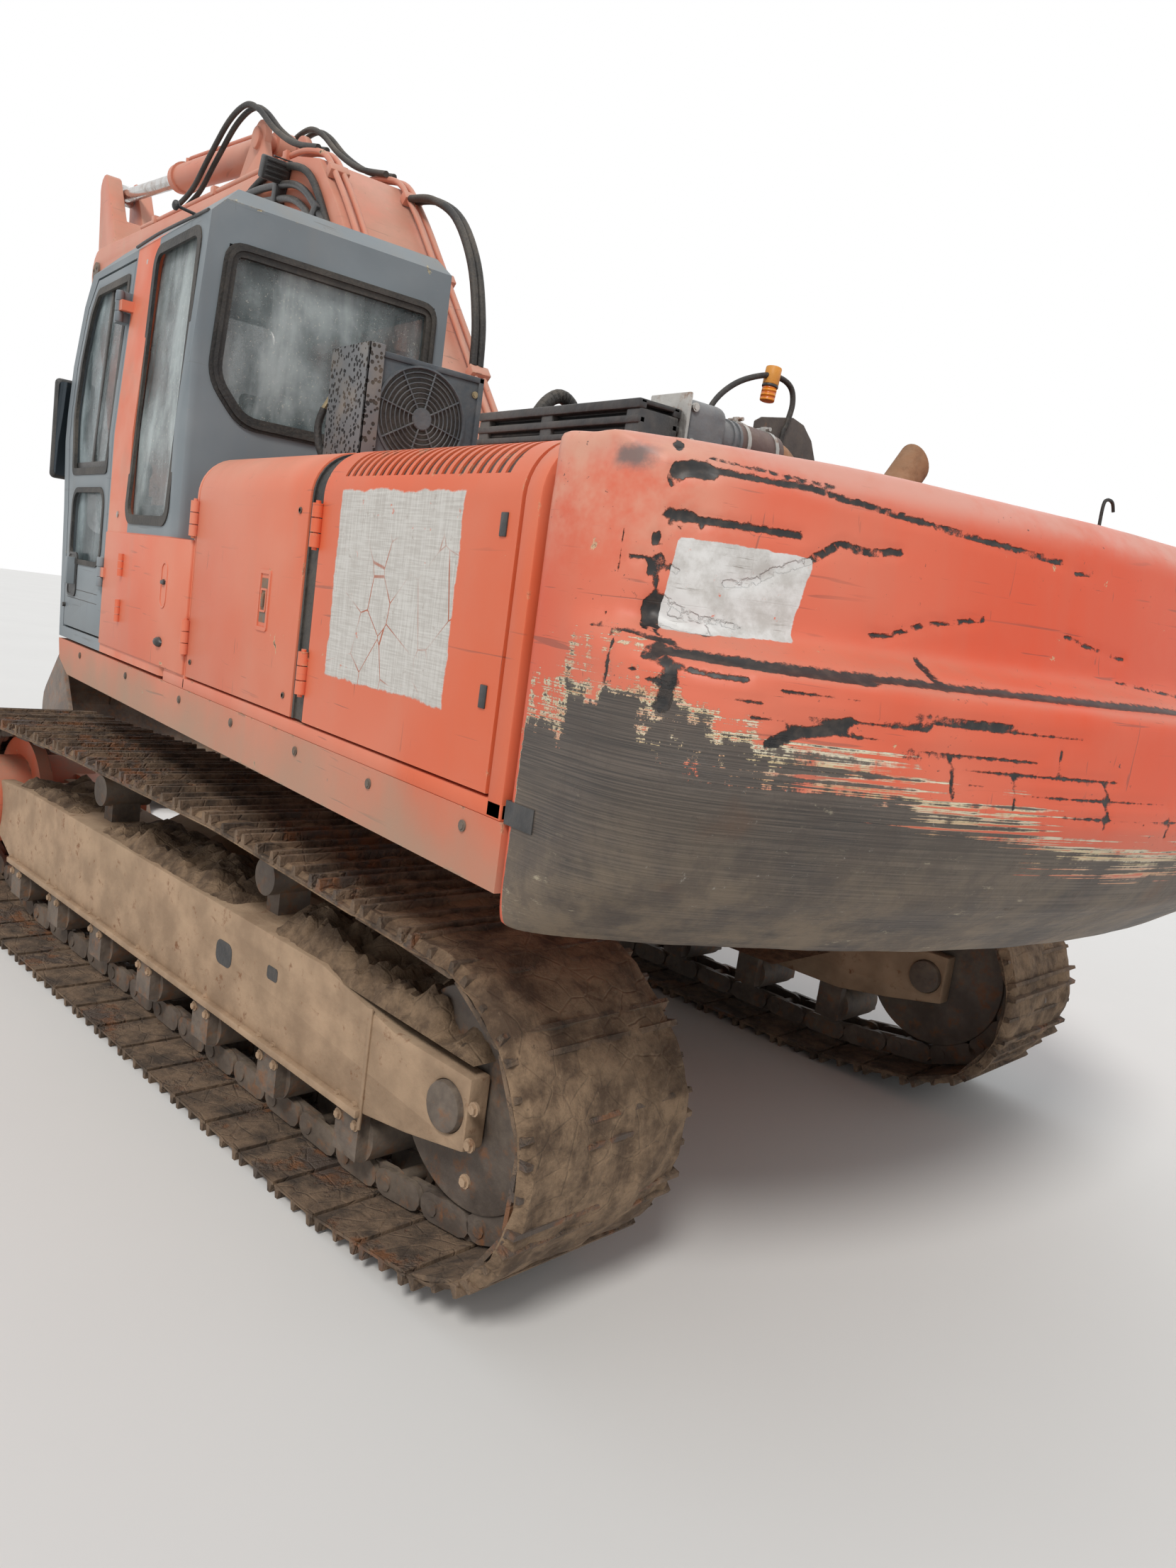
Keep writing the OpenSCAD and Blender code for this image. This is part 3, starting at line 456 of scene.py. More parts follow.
def paint_layers(f, base, pale, fade, chips, scratches, dust, low_dirt=None):
    """Paint bleached by the sun, with runs, scratches, chips to primer and steel, and dust.

    Gives its colour, its roughness and its height.
    """
    sun = f.noise(0.9, 3).step(0.35, 0.68) * fade + f.noise(3.4, 5).step(0.4, 0.8) * (fade * 0.35)
    sun = (sun + f.face[2].step(0.25, 0.9) * (0.35 * fade)).clamp()
    colour = f.mix(base, pale, sun)
    runs = f.noise(7.0, 3, stretch=(1, 1, 0.09)).step(0.52, 0.78)
    colour = f.mix(colour, DUST, runs * (0.3 * dust))
    lines = f.noise(5.0, 2, stretch=(0.5, 0.5, 11), twist=0.6).step(0.66, 0.7)
    lines = lines.most(f.noise(6.0, 2, stretch=(7, 7, 0.7), twist=1.2).step(0.7, 0.73))
    lines = lines * f.noise(2.1, 2).step(0.42, 0.62) * scratches
    colour = f.mix(colour, SCRAPED, lines * 0.55)
    spots = f.noise(10.0, 6, 0.62, twist=0.4)
    spread = f.noise(1.3, 3).step(0.3, 0.75) * (0.085 * chips)
    bevel = f.node("ShaderNodeBevel", {"samples": 3}, {"Radius": 0.012})
    geometry = f.node("ShaderNodeNewGeometry")
    apart = f.node("ShaderNodeVectorMath", {"operation": "DOT_PRODUCT"},
                   {0: bevel.outputs[0], 1: geometry.outputs["Normal"]})
    edge = Value(f, apart.outputs["Value"]).step(0.985, 0.86)
    spread = spread + edge * (0.13 * min(1.0, chips + 0.25))
    chip = (spots + spread).step(0.705, 0.725)
    inner = (spots + spread).step(0.725, 0.75)
    colour = f.mix(colour, PRIMER, chip * 0.75)
    bare = f.mix(SCRAPED, RUST, f.noise(30.0, 3).step(0.4, 0.65))
    colour = f.mix(colour, bare, inner)
    settled = f.noise(4.2, 6, 0.66).step(0.3, 0.72) * (f.face[2].step(0.15, 0.95) * 0.8 + 0.14) * dust
    if low_dirt:
        low, high = low_dirt
        settled = settled.most((f.z + f.noise(2.6, 5) * 0.5).step(high + 0.5, low + 0.12) * 0.85)
    settled = settled.clamp()
    colour = f.mix(colour, DUST, settled)
    grain = f.noise(260.0, 2)
    rough = (settled * 0.32 + 0.47 + inner * 0.2 + sun * 0.1 + (grain - 0.5) * 0.08).clamp()
    height = f.noise(2.6, 2) * 0.5 - chip * 0.05 - inner * 0.06 + settled * grain * 0.05 - lines * 0.03
    return colour, rough, height


def worn_paint(name, base, pale, fade=0.6, chips=0.5, scratches=0.5, dust=0.5, low_dirt=None, dents=0.01,
               extra=None):
    """The usual finish of a painted panel."""
    f = Finish(name)
    colour, rough, height = paint_layers(f, TONES[base], TONES[pale], fade, chips, scratches, dust, low_dirt)
    if extra:
        colour, rough, height = extra(f, colour, rough, height)
    return f.done(colour, rough, normal=f.bump(height, dents))


# Colours of the paints, by name, taken from the settings when the finishes are made
TONES = {}


def box_mask(f, low, high, soft, wobble):
    """1 inside a rectangle of X and Z, its edges torn by a wobble."""
    shake = (f.noise(13.0, 5, 0.7) - 0.5) * wobble
    parts = []
    for here, a, b in ((f.x + shake, low[0], high[0]), (f.z + shake, low[1], high[1])):
        parts.append(here.step(a - soft, a + soft) * here.step(b + soft, b - soft))
    return parts[0] * parts[1]


def torn_sheet(f, colour, rough, height):
    """What is left of a pale sticker on the rear cover: bare, woven and torn, with no print."""
    mask = box_mask(f, (-2.2, 1.595), (-1.585, 2.075), 0.003, 0.035)
    mask = mask * f.face[1].step(0.3, 0.6) * f.noise(23.0, 5, 0.7).step(0.27, 0.34)
    weave = f.noise(90.0, 2, stretch=(0.12, 0.12, 3)) * 0.5 + f.noise(90.0, 2, stretch=(3, 3, 0.12)) * 0.5
    pale = f.mix((0.5, 0.47, 0.43), (0.66, 0.64, 0.6), weave.step(0.35, 0.65))
    pale = f.mix(pale, (0.36, 0.3, 0.26), f.noise(34.0, 5, 0.7).step(0.6, 0.72) * 0.6)
    cracks = f.cells(7.0, "DISTANCE_TO_EDGE", (1, 1, 0.8)).step(0.012, 0.004) * f.noise(2.0).step(0.5, 0.6)
    pale = f.mix(pale, (0.42, 0.12, 0.06), cracks)
    return f.mix(colour, pale, mask), (rough + mask * 0.25).clamp(), height + mask * 0.05


def cab_colours(f, colour, rough, height):
    """The cab's orange pillar and lower rear panel, on its left side."""
    left = f.y.step(SIDE - 0.09, SIDE - 0.07)
    pillar = f.x.step(0.325, 0.331) * f.x.step(0.607, 0.601)
    lower = f.z.step(1.915, 1.909) * f.x.step(0.607, 0.601)
    mask = (pillar.most(lower) * left).clamp()
    rusty = f.mix(TONES["orange"], TONES["orange_pale"], f.noise(1.6, 4).step(0.3, 0.7))
    rusty = f.mix(rusty, DUST, f.noise(5.0, 5).step(0.45, 0.8) * 0.35)
    return f.mix(colour, rusty, mask), rough, height


def weight_finish():
    """The counterweight: orange above, ground down to dark steel below, with long scrapes."""
    f = Finish("worn_counterweight")
    colour, rough, height = paint_layers(f, TONES["weight"], TONES["orange_pale"], 0.42, 0.5, 0.8, 0.32)
    upper = f.z.step(2.1, 2.175) * f.noise(3.0, 5, 0.7).step(0.25, 0.6)
    colour = f.mix(colour, (0.66, 0.34, 0.27), upper * 0.75)
    # Paler paint on the upper rounded corner: partly sun fading, partly a painted highlight where light falls on
    # the curve.
    faded_and_highlight = f.y.step(1.2, 1.44) * f.z.step(1.86, 2.08) * f.noise(4.0, 5, 0.7).step(0.32, 0.62)
    colour = f.mix(colour, (0.7, 0.37, 0.26), faded_and_highlight * 0.8)
    chips = f.noise(62.0, 4, 0.7).step(0.655, 0.69) * f.noise(3.6, 3).step(0.5, 0.62)
    scratches = f.noise(14.0, 4, 0.7, stretch=(0.25, 0.25, 9), twist=0.6).step(0.66, 0.7)
    scratches = scratches * f.noise(2.6).step(0.5, 0.6)
    colour = f.mix(colour, (0.04, 0.032, 0.028), (chips + scratches).clamp() * 0.85)
    dent = (box_mask(f, (-2.735, 2.125), (-2.675, 2.165), 0.012, 0.05) * f.y.step(1.25, 1.33)).clamp()
    colour = f.mix(colour, (0.13, 0.12, 0.115), dent * 0.85)
    lines = f.noise(3.0, 3, 0.6, stretch=(0.35, 0.35, 26), twist=0.3)
    fine = f.noise(9.0, 3, 0.6, stretch=(0.3, 0.3, 30))
    patches = f.noise(4.5, 6, 0.66)
    corner = f.y.step(1.18, 1.42)
    blotches = f.noise(9.0, 7, 0.75, stretch=(1, 1, 0.7))
    worn = f.attribute("worn") + (lines - 0.5) * (0.26 - corner * 0.12) + (patches - 0.5) * 0.15
    worn = worn + (fine - 0.5) * 0.16 + (blotches - 0.5) * (0.1 + corner * 0.42)
    primer = worn.step(-0.034, -0.016) * f.noise(7.0, 5, 0.7).step(0.36, 0.5)
    bare = worn.step(-0.004, 0.01)
    yellow = f.mix((0.6, 0.46, 0.26), (0.72, 0.66, 0.5), fine.step(0.35, 0.65))
    colour = f.mix(colour, yellow, primer * (lines.step(0.3, 0.55) * 0.75 + 0.25))
    steel = f.mix((0.05, 0.043, 0.038), (0.125, 0.1, 0.082), fine.step(0.36, 0.66))
    lower = f.z.step(1.62, 1.24) * 0.85
    steel = f.mix(steel, (0.22, 0.165, 0.11), f.noise(3.2, 6, 0.7).step(0.36, 0.62) * lower)
    steel = f.mix(steel, (0.075, 0.058, 0.048), blotches.step(0.46, 0.6) * 0.5)
    steel = f.mix(steel, (0.46, 0.4, 0.28), (f.noise(26.0, 6, 0.75, stretch=(0.5, 0.5, 1.6)).step(0.6, 0.68)
                                              * f.noise(2.6).step(0.47, 0.58) * 0.7))
    steel = f.mix(steel, RUST, f.noise(1.7, 5).step(0.6, 0.74) * 0.6)
    steel = f.mix(steel, (0.33, 0.3, 0.26), (f.noise(55.0, 5, 0.7).step(0.64, 0.7)
                                              * f.noise(2.2).step(0.45, 0.6) * 0.7))
    colour = f.mix(colour, steel, bare)
    ragged = f.attribute("gouge") + (f.noise(60.0, 4, 0.7) - 0.5) * 0.012
    gouge = ragged.step(0.0015, -0.0015)
    # The gouges are painted near black: some dark grime, and painted shade in the grooves.
    groove_grime_and_shade = f.mix((0.012, 0.011, 0.011), (0.045, 0.034, 0.028), f.noise(45.0, 3).step(0.4, 0.7))
    colour = f.mix(colour, groove_grime_and_shade, gouge)
    bare_plate = (f.attribute("plate") + (f.noise(30.0, 5, 0.7) - 0.5) * 0.012).step(0.001, -0.001)
    whitish = f.mix((0.5, 0.48, 0.45), (0.7, 0.69, 0.67), f.noise(11.0, 6, 0.7).step(0.35, 0.6))
    frame_line = f.attribute("plate").step(0.012, 0.014) * f.attribute("plate").step(0.019, 0.017)
    scuffs = f.noise(30.0, 4, 0.7, stretch=(0.3, 0.3, 6)).step(0.58, 0.66) * f.noise(6.0, 4).step(0.42, 0.6)
    crackle = f.cells(9.0, "DISTANCE_TO_EDGE").step(0.01, 0.004) * f.noise(3.0).step(0.48, 0.58)
    whitish = f.mix(whitish, (0.16, 0.13, 0.1), (frame_line * 0.6 + scuffs * 0.6 + crackle * 0.7).clamp())
    colour = f.mix(colour, whitish, bare_plate * (f.noise(42.0, 5, 0.7).step(0.72, 0.66)))
    rough = (rough + bare * 0.06 - gouge * 0.05).clamp()
    height = height - primer * 0.08 - bare * 0.1 - gouge * 0.25 + fine * bare * 0.12
    return f.done(colour, rough, normal=f.bump(height, 0.012))


def mud_finish(name, dark, pale, cover=None):
    """Dried mud, cracked and lumpy; where cover is given, worn steel shows through it."""
    f = Finish(name)
    lumps = f.noise(9.0, 8, 0.68)
    small = f.noise(48.0, 5, 0.7)
    cracks = f.cells(11.0, "DISTANCE_TO_EDGE").step(0.05, 0.0)
    colour = f.mix(dark, pale, lumps.step(0.34, 0.66))
    colour = f.mix(colour, (0.42, 0.31, 0.2), small.step(0.58, 0.8) * 0.5)
    colour = f.mix(colour, (0.055, 0.036, 0.024), small.step(0.42, 0.25) * 0.7)
    rough = small * 0.1 + 0.88
    height = lumps + small * 0.35 - cracks * 0.15
    if cover is not None:
        shown = (f.noise(3.1, 6, 0.66) + f.noise(40.0, 3) * 0.08).step(cover, cover + 0.07)
        metal = f.mix((0.09, 0.065, 0.05), RUST, f.noise(14.0, 5).step(0.42, 0.62))
        colour = f.mix(colour, metal, shown)
        rough = rough - shown * 0.3
        height = height - shown * 0.4
    return f.done(colour, rough, normal=f.bump(height, 0.02, 0.9))


def dusty_finish(name, under, rough_under=0.55, metal=0.0, dust=0.5, tint=DUST, grain=40.0, rust=0.0):
    """A dark or bare part under blown dust, with oily patches and specks of rust."""
    f = Finish(name)
    vary = f.noise(6.0, 5)
    colour = f.mix(under, tuple(min(1.0, c * 1.5 + 0.012) for c in under), vary.step(0.35, 0.7))
    if rust:
        colour = f.mix(colour, RUST, (f.noise(17.0, 6, 0.7) + vary * 0.2).step(0.72 - 0.2 * rust, 0.8))
    film = (f.noise(grain, 4) * 0.35 + f.noise(3.0, 5) * 0.65).step(0.36, 0.72)
    film = (film * (f.face[2].step(-0.2, 0.9) * 0.6 + 0.4) * dust).clamp()
    colour = f.mix(colour, tint, film)
    height = f.noise(grain, 4) + film * 0.4
    return f.done(colour, (film * 0.35 + rough_under).clamp(), 1.0 * metal - film * metal if metal else None,
                  f.bump(height, 0.0025))


def glass_finish(name, clear=0.3, tint=(0.5, 0.56, 0.56)):
    """A pane with a film of dust, wiped and streaked, that lets the inside show."""
    f = Finish(name)
    streaks = f.noise(5.0, 4, 0.6, stretch=(1, 1, 0.22), twist=0.5)
    blots = f.noise(2.3, 6, 0.62)
    specks = f.noise(120.0, 2).step(0.62, 0.72)
    film = (streaks * 0.5 + blots * 0.5).step(0.34, 0.66)
    colour = f.mix((0.055, 0.085, 0.09), tint, film)
    colour = f.mix(colour, (0.6, 0.56, 0.48), specks * 0.5)
    return f.done(colour, film * 0.35 + 0.12, alpha=(film * 0.5 + clear + specks * 0.2).clamp())


def perforated_finish():
    """A dark plate with rows of small holes, painted near black as the shade inside them."""
    f = Finish("perforated_plate")
    hole = f.cells(58.0).step(0.42, 0.34)
    # The holes are painted near black: painted shade inside them.
    colour = f.mix((0.16, 0.165, 0.17), (0.01, 0.01, 0.011), hole)
    colour = f.mix(colour, DUST, f.noise(8.0, 5).step(0.45, 0.8) * 0.4)
    return f.done(colour, hole * 0.3 + 0.5, normal=f.bump(-hole, 0.002))


def fin_finish():
    """A core of thin fins under grime, with painted shade in the gaps between the fins."""
    f = Finish("cooler_fins")
    wave = (f.z * 420.0).math("SINE")
    grime = f.noise(6.0, 6, 0.7)
    colour = f.mix((0.022, 0.022, 0.023), (0.14, 0.12, 0.1), grime.step(0.5, 0.75) * 0.8)
    # Near-black stripes: painted shade in the gaps between the fins.
    colour = f.mix((0.004, 0.004, 0.004), colour, wave.step(-0.5, 0.3))
    return f.done(colour, grime * 0.2 + 0.5, normal=f.bump(wave + grime, 0.002))


def rod_finish():
    """A chromed rod with a dusty film and fine rings."""
    f = Finish("chromed_rod")
    film = f.noise(14.0, 5).step(0.42, 0.75) * 0.55
    colour = f.mix((0.62, 0.61, 0.6), (0.3, 0.22, 0.16), film)
    return f.done(colour, film * 0.45 + 0.16, 1.0 - film, f.bump(f.noise(60.0, 2), 0.0004))


def lamp_finish(name, colour, deep):
    """A ribbed plastic lens."""
    f = Finish(name)
    ribs = (f.z * 520.0).math("SINE")
    tone = f.mix(deep, colour, (ribs * 0.25 + f.noise(12.0, 4)).step(0.2, 0.9))
    return f.done(tone, 0.28, normal=f.bump(ribs, 0.0012))


PAINTS = {}


def make_finishes(settings):
    """All the finishes, by name, in the colours of the settings."""
    for name in PaintSettings.__annotations__:
        TONES[name] = tuple(getattr(settings, name))
    PAINTS.update(
        orange=worn_paint("orange_panel", "orange", "orange_pale", 0.62, 0.35, 0.6, 0.3),
        torn=worn_paint("orange_cover", "orange", "orange_pale", 0.45, 0.5, 0.8, 0.28, extra=torn_sheet),
        deck=worn_paint("orange_deck", "orange", "orange_pale", 0.5, 0.9, 0.9, 0.5, low_dirt=(1.24, 1.36)),
        boom=worn_paint("faded_boom", "boom", "boom_pale", 0.8, 0.55, 0.7, 0.42),
        drive=worn_paint("orange_drive", "orange", "boom_pale", 0.7, 0.9, 0.6, 0.8),
        cab=worn_paint("slate_cab", "cab", "cab_pale", 0.8, 0.3, 0.6, 0.34, dents=0.016, extra=cab_colours),
        door=worn_paint("slate_door", "cab", "cab_pale", 0.6, 0.25, 0.5, 0.34),
        weight=weight_finish(),
        mud=mud_finish("dry_mud", (0.085, 0.052, 0.031), (0.285, 0.19, 0.115)),
        track=mud_finish("muddy_track", (0.06, 0.042, 0.03), (0.225, 0.15, 0.095), 0.56),
        frame=dusty_finish("dusty_frame", (0.3, 0.2, 0.125), 0.78, dust=0.8, tint=(0.4, 0.29, 0.19),
                           rust=0.2),
        steel=dusty_finish("dusty_steel", (0.085, 0.065, 0.052), 0.6, dust=0.65, rust=0.6),
        bucket=dusty_finish("bucket_steel", (0.1, 0.072, 0.055), 0.5, dust=0.5, rust=0.8),
        dark=dusty_finish("dark_metal", (0.022, 0.023, 0.025), 0.42, dust=0.3),
        engine=dusty_finish("oily_engine", (0.05, 0.047, 0.045), 0.4, dust=0.45, rust=0.3),
        rubber=dusty_finish("old_rubber", (0.014, 0.014, 0.014), 0.62, dust=0.35, grain=90.0),
        plastic=dusty_finish("black_plastic", (0.02, 0.021, 0.022), 0.45, dust=0.25, grain=120.0),
        grey_pipe=dusty_finish("grey_casting", (0.115, 0.125, 0.135), 0.5, dust=0.35),
        brown_hose=dusty_finish("brown_hose", (0.11, 0.072, 0.065), 0.6, dust=0.35),
        zinc=dusty_finish("plated_steel", (0.36, 0.35, 0.33), 0.35, metal=0.8, dust=0.4, rust=0.4),
        rust=dusty_finish("rusty_pipe", (0.3, 0.15, 0.075), 0.8, dust=0.5, rust=0.9),
        condenser=dusty_finish("condenser_box", (0.055, 0.068, 0.08), 0.5, dust=0.35),
        brass=dusty_finish("brass_fitting", (0.3, 0.24, 0.14), 0.4, metal=0.7, dust=0.3),
        plate_rust=dusty_finish("brown_plate", (0.04, 0.03, 0.026), 0.55, dust=0.4, rust=0.4),
        lamp_base=dusty_finish("lamp_base", (0.62, 0.26, 0.035), 0.5, dust=0.15),
        cloth=dusty_finish("seat_cloth", (0.04, 0.041, 0.046), 0.9, dust=0.35, grain=220.0),
        rod=rod_finish(), perforated=perforated_finish(), fins=fin_finish(),
        glass=glass_finish("dusty_glass"), side_glass=glass_finish("streaked_glass", 0.26, (0.42, 0.5, 0.52)),
        amber=lamp_finish("amber_lens", (0.95, 0.36, 0.03), (0.62, 0.13, 0.01)),
        lens=lamp_finish("lamp_lens", (0.55, 0.56, 0.55), (0.22, 0.22, 0.22)),
        mirror=Finish("mirror_glass").done((0.2, 0.22, 0.24, 1.0), 0.08, 1.0),
    )


# Settings that a user would change


def length(name, description, default):
    return bpy.props.FloatProperty(name=name, description=description, default=default, unit="LENGTH",
                                   subtype="DISTANCE")


def angle(name, description, degrees):
    return bpy.props.FloatProperty(name=name, description=description, default=math.radians(degrees),
                                   unit="ROTATION", subtype="ANGLE")


def colour(name, description, default):
    return bpy.props.FloatVectorProperty(name=name, description=description, default=default,
                                         subtype="COLOR")


class PaintSettings(bpy.types.PropertyGroup):
    """The colours of the paints, whole and bleached by the sun."""

    orange: colour("Orange", "Paint of the covers, the deck and the tanks", (0.72, 0.125, 0.042))
    orange_pale: colour("Pale orange", "Paint of the covers where it is bleached", (0.73, 0.3, 0.2))
    weight: colour("Counterweight", "Paint that is left on the counterweight", (0.7, 0.085, 0.028))
    boom: colour("Boom", "Paint of the boom, the arm and their cylinders", (0.62, 0.19, 0.11))
    boom_pale: colour("Pale boom", "Paint of the boom where it is bleached", (0.66, 0.33, 0.24))
    cab: colour("Cab", "Paint of the cab and its door", (0.15, 0.18, 0.2))
    cab_pale: colour("Pale cab", "Paint of the cab where it is bleached", (0.27, 0.305, 0.325))


class TrackSettings(bpy.types.PropertyGroup):
    """The mud on the tracks."""

    mud_rise: length("Mud", "How far the mud rises over the shoes where it lies thickest", 0.03)


class StageSettings(bpy.types.PropertyGroup):
    """The camera, the lamps and the floor."""

    camera_place: bpy.props.FloatVectorProperty(
        name="Camera place", description="Where the camera stands", default=(-4.361, 2.787, 1.848),
        unit="LENGTH", subtype="TRANSLATION")
    heading: angle("Heading", "Way that the camera faces, from +X towards +Y", -38.884)
    pitch: angle("Pitch", "Tilt of the camera above the level", -8.603)
    roll: angle("Roll", "Turn of the picture about its middle", 7.958)
    lens: bpy.props.FloatProperty(
        name="Lens", description="Focal length for a long side of 36 mm", default=25.63, unit="CAMERA")
    sun: bpy.props.FloatProperty(name="Sun", description="Strength of the soft main lamp", default=1.75)
    sky: bpy.props.FloatProperty(name="Sky", description="Strength of the even light", default=0.55)
    floor: colour("Floor", "Colour of the floor", (0.78, 0.77, 0.75))


def make_floor(colour):
    """A wide pale floor that looks like the backdrop to the camera and keeps the shadow."""
    bm = bmesh.new()
    bmesh.ops.create_grid(bm, x_segments=8, y_segments=8, size=60.0)
    mesh = bpy.data.meshes.new("floor")
    bm.to_mesh(mesh)
    bm.free()
    floor = bpy.data.objects.new("floor", mesh)
    bpy.context.scene.collection.objects.link(floor)
    f = Finish("pale_floor")
    mottled = f.noise(0.5, 5).step(0.2, 0.8)
    tone = f.mix(tuple(c * 0.965 for c in colour), tuple(colour), mottled)
    mesh.materials.append(f.done(tone, 0.95))


def make_sky(strength):
    """A white backdrop for the camera and for mirror rays, and an even light for the rest."""
    world = bpy.data.worlds.new("sky")
    bpy.context.scene.world = world
    world.use_nodes = True
    tree = world.node_tree
    tree.nodes.clear()
    path = tree.nodes.new("ShaderNodeLightPath")
    seen = tree.nodes.new("ShaderNodeMath")
    seen.operation = "MAXIMUM"
    also = tree.nodes.new("ShaderNodeMath")
    also.operation = "MAXIMUM"
    light, backdrop = (tree.nodes.new("ShaderNodeBackground") for _ in range(2))
    light.inputs["Color"].default_value = (0.93, 0.96, 1.0, 1.0)
    light.inputs["Strength"].default_value = strength
    backdrop.inputs["Color"].default_value = (1.0, 1.0, 1.0, 1.0)
    backdrop.inputs["Strength"].default_value = 1.0
    mix = tree.nodes.new("ShaderNodeMixShader")
    output = tree.nodes.new("ShaderNodeOutputWorld")
    for start, end in (
            (path.outputs["Is Camera Ray"], seen.inputs[0]), (path.outputs["Is Glossy Ray"], seen.inputs[1]),
            (seen.outputs[0], also.inputs[0]), (path.outputs["Is Transmission Ray"], also.inputs[1]),
            (also.outputs[0], mix.inputs[0]), (light.outputs[0], mix.inputs[1]),
            (backdrop.outputs[0], mix.inputs[2]), (mix.outputs[0], output.inputs[0])):
        tree.links.new(start, end)


def make_camera(settings):
    """The camera at the photograph's viewing angle."""
    data = bpy.data.cameras.new("camera")
    data.sensor_fit = "AUTO"
    data.sensor_width = 36.0
    data.lens = settings.lens
    data.clip_start, data.clip_end = 0.05, 500.0
    y, p, r = settings.heading, settings.pitch, settings.roll
    ahead = Vector((math.cos(y) * math.cos(p), math.sin(y) * math.cos(p), math.sin(p)))
    level = Vector((math.sin(y), -math.cos(y), 0))
    above = level.cross(ahead)
    right = math.cos(r) * level + math.sin(r) * above
    up = math.cos(r) * above - math.sin(r) * level
    turn = Matrix((right, up, -ahead)).transposed().to_4x4()
    camera = bpy.data.objects.new("camera", data)
    camera.matrix_world = Matrix.Translation(settings.camera_place) @ turn
    bpy.context.scene.collection.objects.link(camera)
    bpy.context.scene.camera = camera


def make_sun(strength):
    """A broad soft lamp from behind the cab side, and a weaker one from the other side."""
    for name, way, power, spread in (("sun", (0.5, -0.62, -0.86), strength, 14.0),
                                     ("fill", (-0.35, 0.6, -0.55), strength * 0.22, 60.0)):
        lamp = bpy.data.lights.new(name, "SUN")
        lamp.energy = power
        lamp.angle = math.radians(spread)
        lamp.color = (1.0, 0.975, 0.94) if name == "sun" else (0.95, 0.97, 1.0)
        made = bpy.data.objects.new(name, lamp)
        made.rotation_mode = "QUATERNION"
        made.rotation_quaternion = Vector(way).to_track_quat("-Z", "Y")
        bpy.context.scene.collection.objects.link(made)


# Operators, one for each group of pieces


class StageOperator(bpy.types.Operator):
    """Sets the camera, the floor and the light."""

    bl_idname = "excavator.stage"
    bl_label = "Stage"

    def execute(self, context):
        settings = context.scene.excavator_stage
        context.scene.view_settings.view_transform = "Standard"
        make_camera(settings)
        make_floor(settings.floor)
        make_sky(settings.sky)
        make_sun(settings.sun)
        return {"FINISHED"}


# What each plain node is dressed in: node, finish, edge radius
PLAIN_NODES = [
    ("car_body", "frame", 0.008), ("swing_bearing", "steel", 0.004), ("track_frame_left", "frame", 0.01),
    ("track_frame_right", "frame", 0.01), ("final_drives", "drive", 0.012), ("idlers", "steel", 0.01),
    ("rollers", "steel", 0.008), ("main_frame", "deck", 0.01), ("cab_door", "door", 0.004),
    ("hydraulic_tank", "orange", 0.02), ("fuel_tank", "orange", 0.02), ("tool_box", "orange", 0.015),
    ("handrails", "dark", 0.002), ("boom", "boom", 0.008), ("arm", "boom", 0.008),
    ("boom_barrels", "boom", 0.006), ("arm_barrel", "boom", 0.006), ("bucket_barrel", "boom", 0.006),
    ("boom_rods", "rod", 0.004), ("arm_rod", "rod", 0.004), ("bucket_rod", "rod", 0.004),
    ("rocker", "bucket", 0.006), ("bucket_link", "bucket", 0.006), ("bucket", "bucket", 0.006),
]


class PlainOperator(bpy.types.Operator):
    """Rounds the edges of the frame's own pieces and gives them their finishes."""

    bl_idname = "excavator.plain"
    bl_label = "Frame pieces"

    def execute(self, context):
        for row in PLAIN_NODES:
            dressed(*row)
        for node, paint in (("cab_glass", "glass"), ("cab_door_glass", "side_glass")):
            panes = frame["nodes"][node]
            panes.data.materials.clear()
            panes.data.materials.append(PAINTS[paint])
        return {"FINISHED"}


# The counterweight


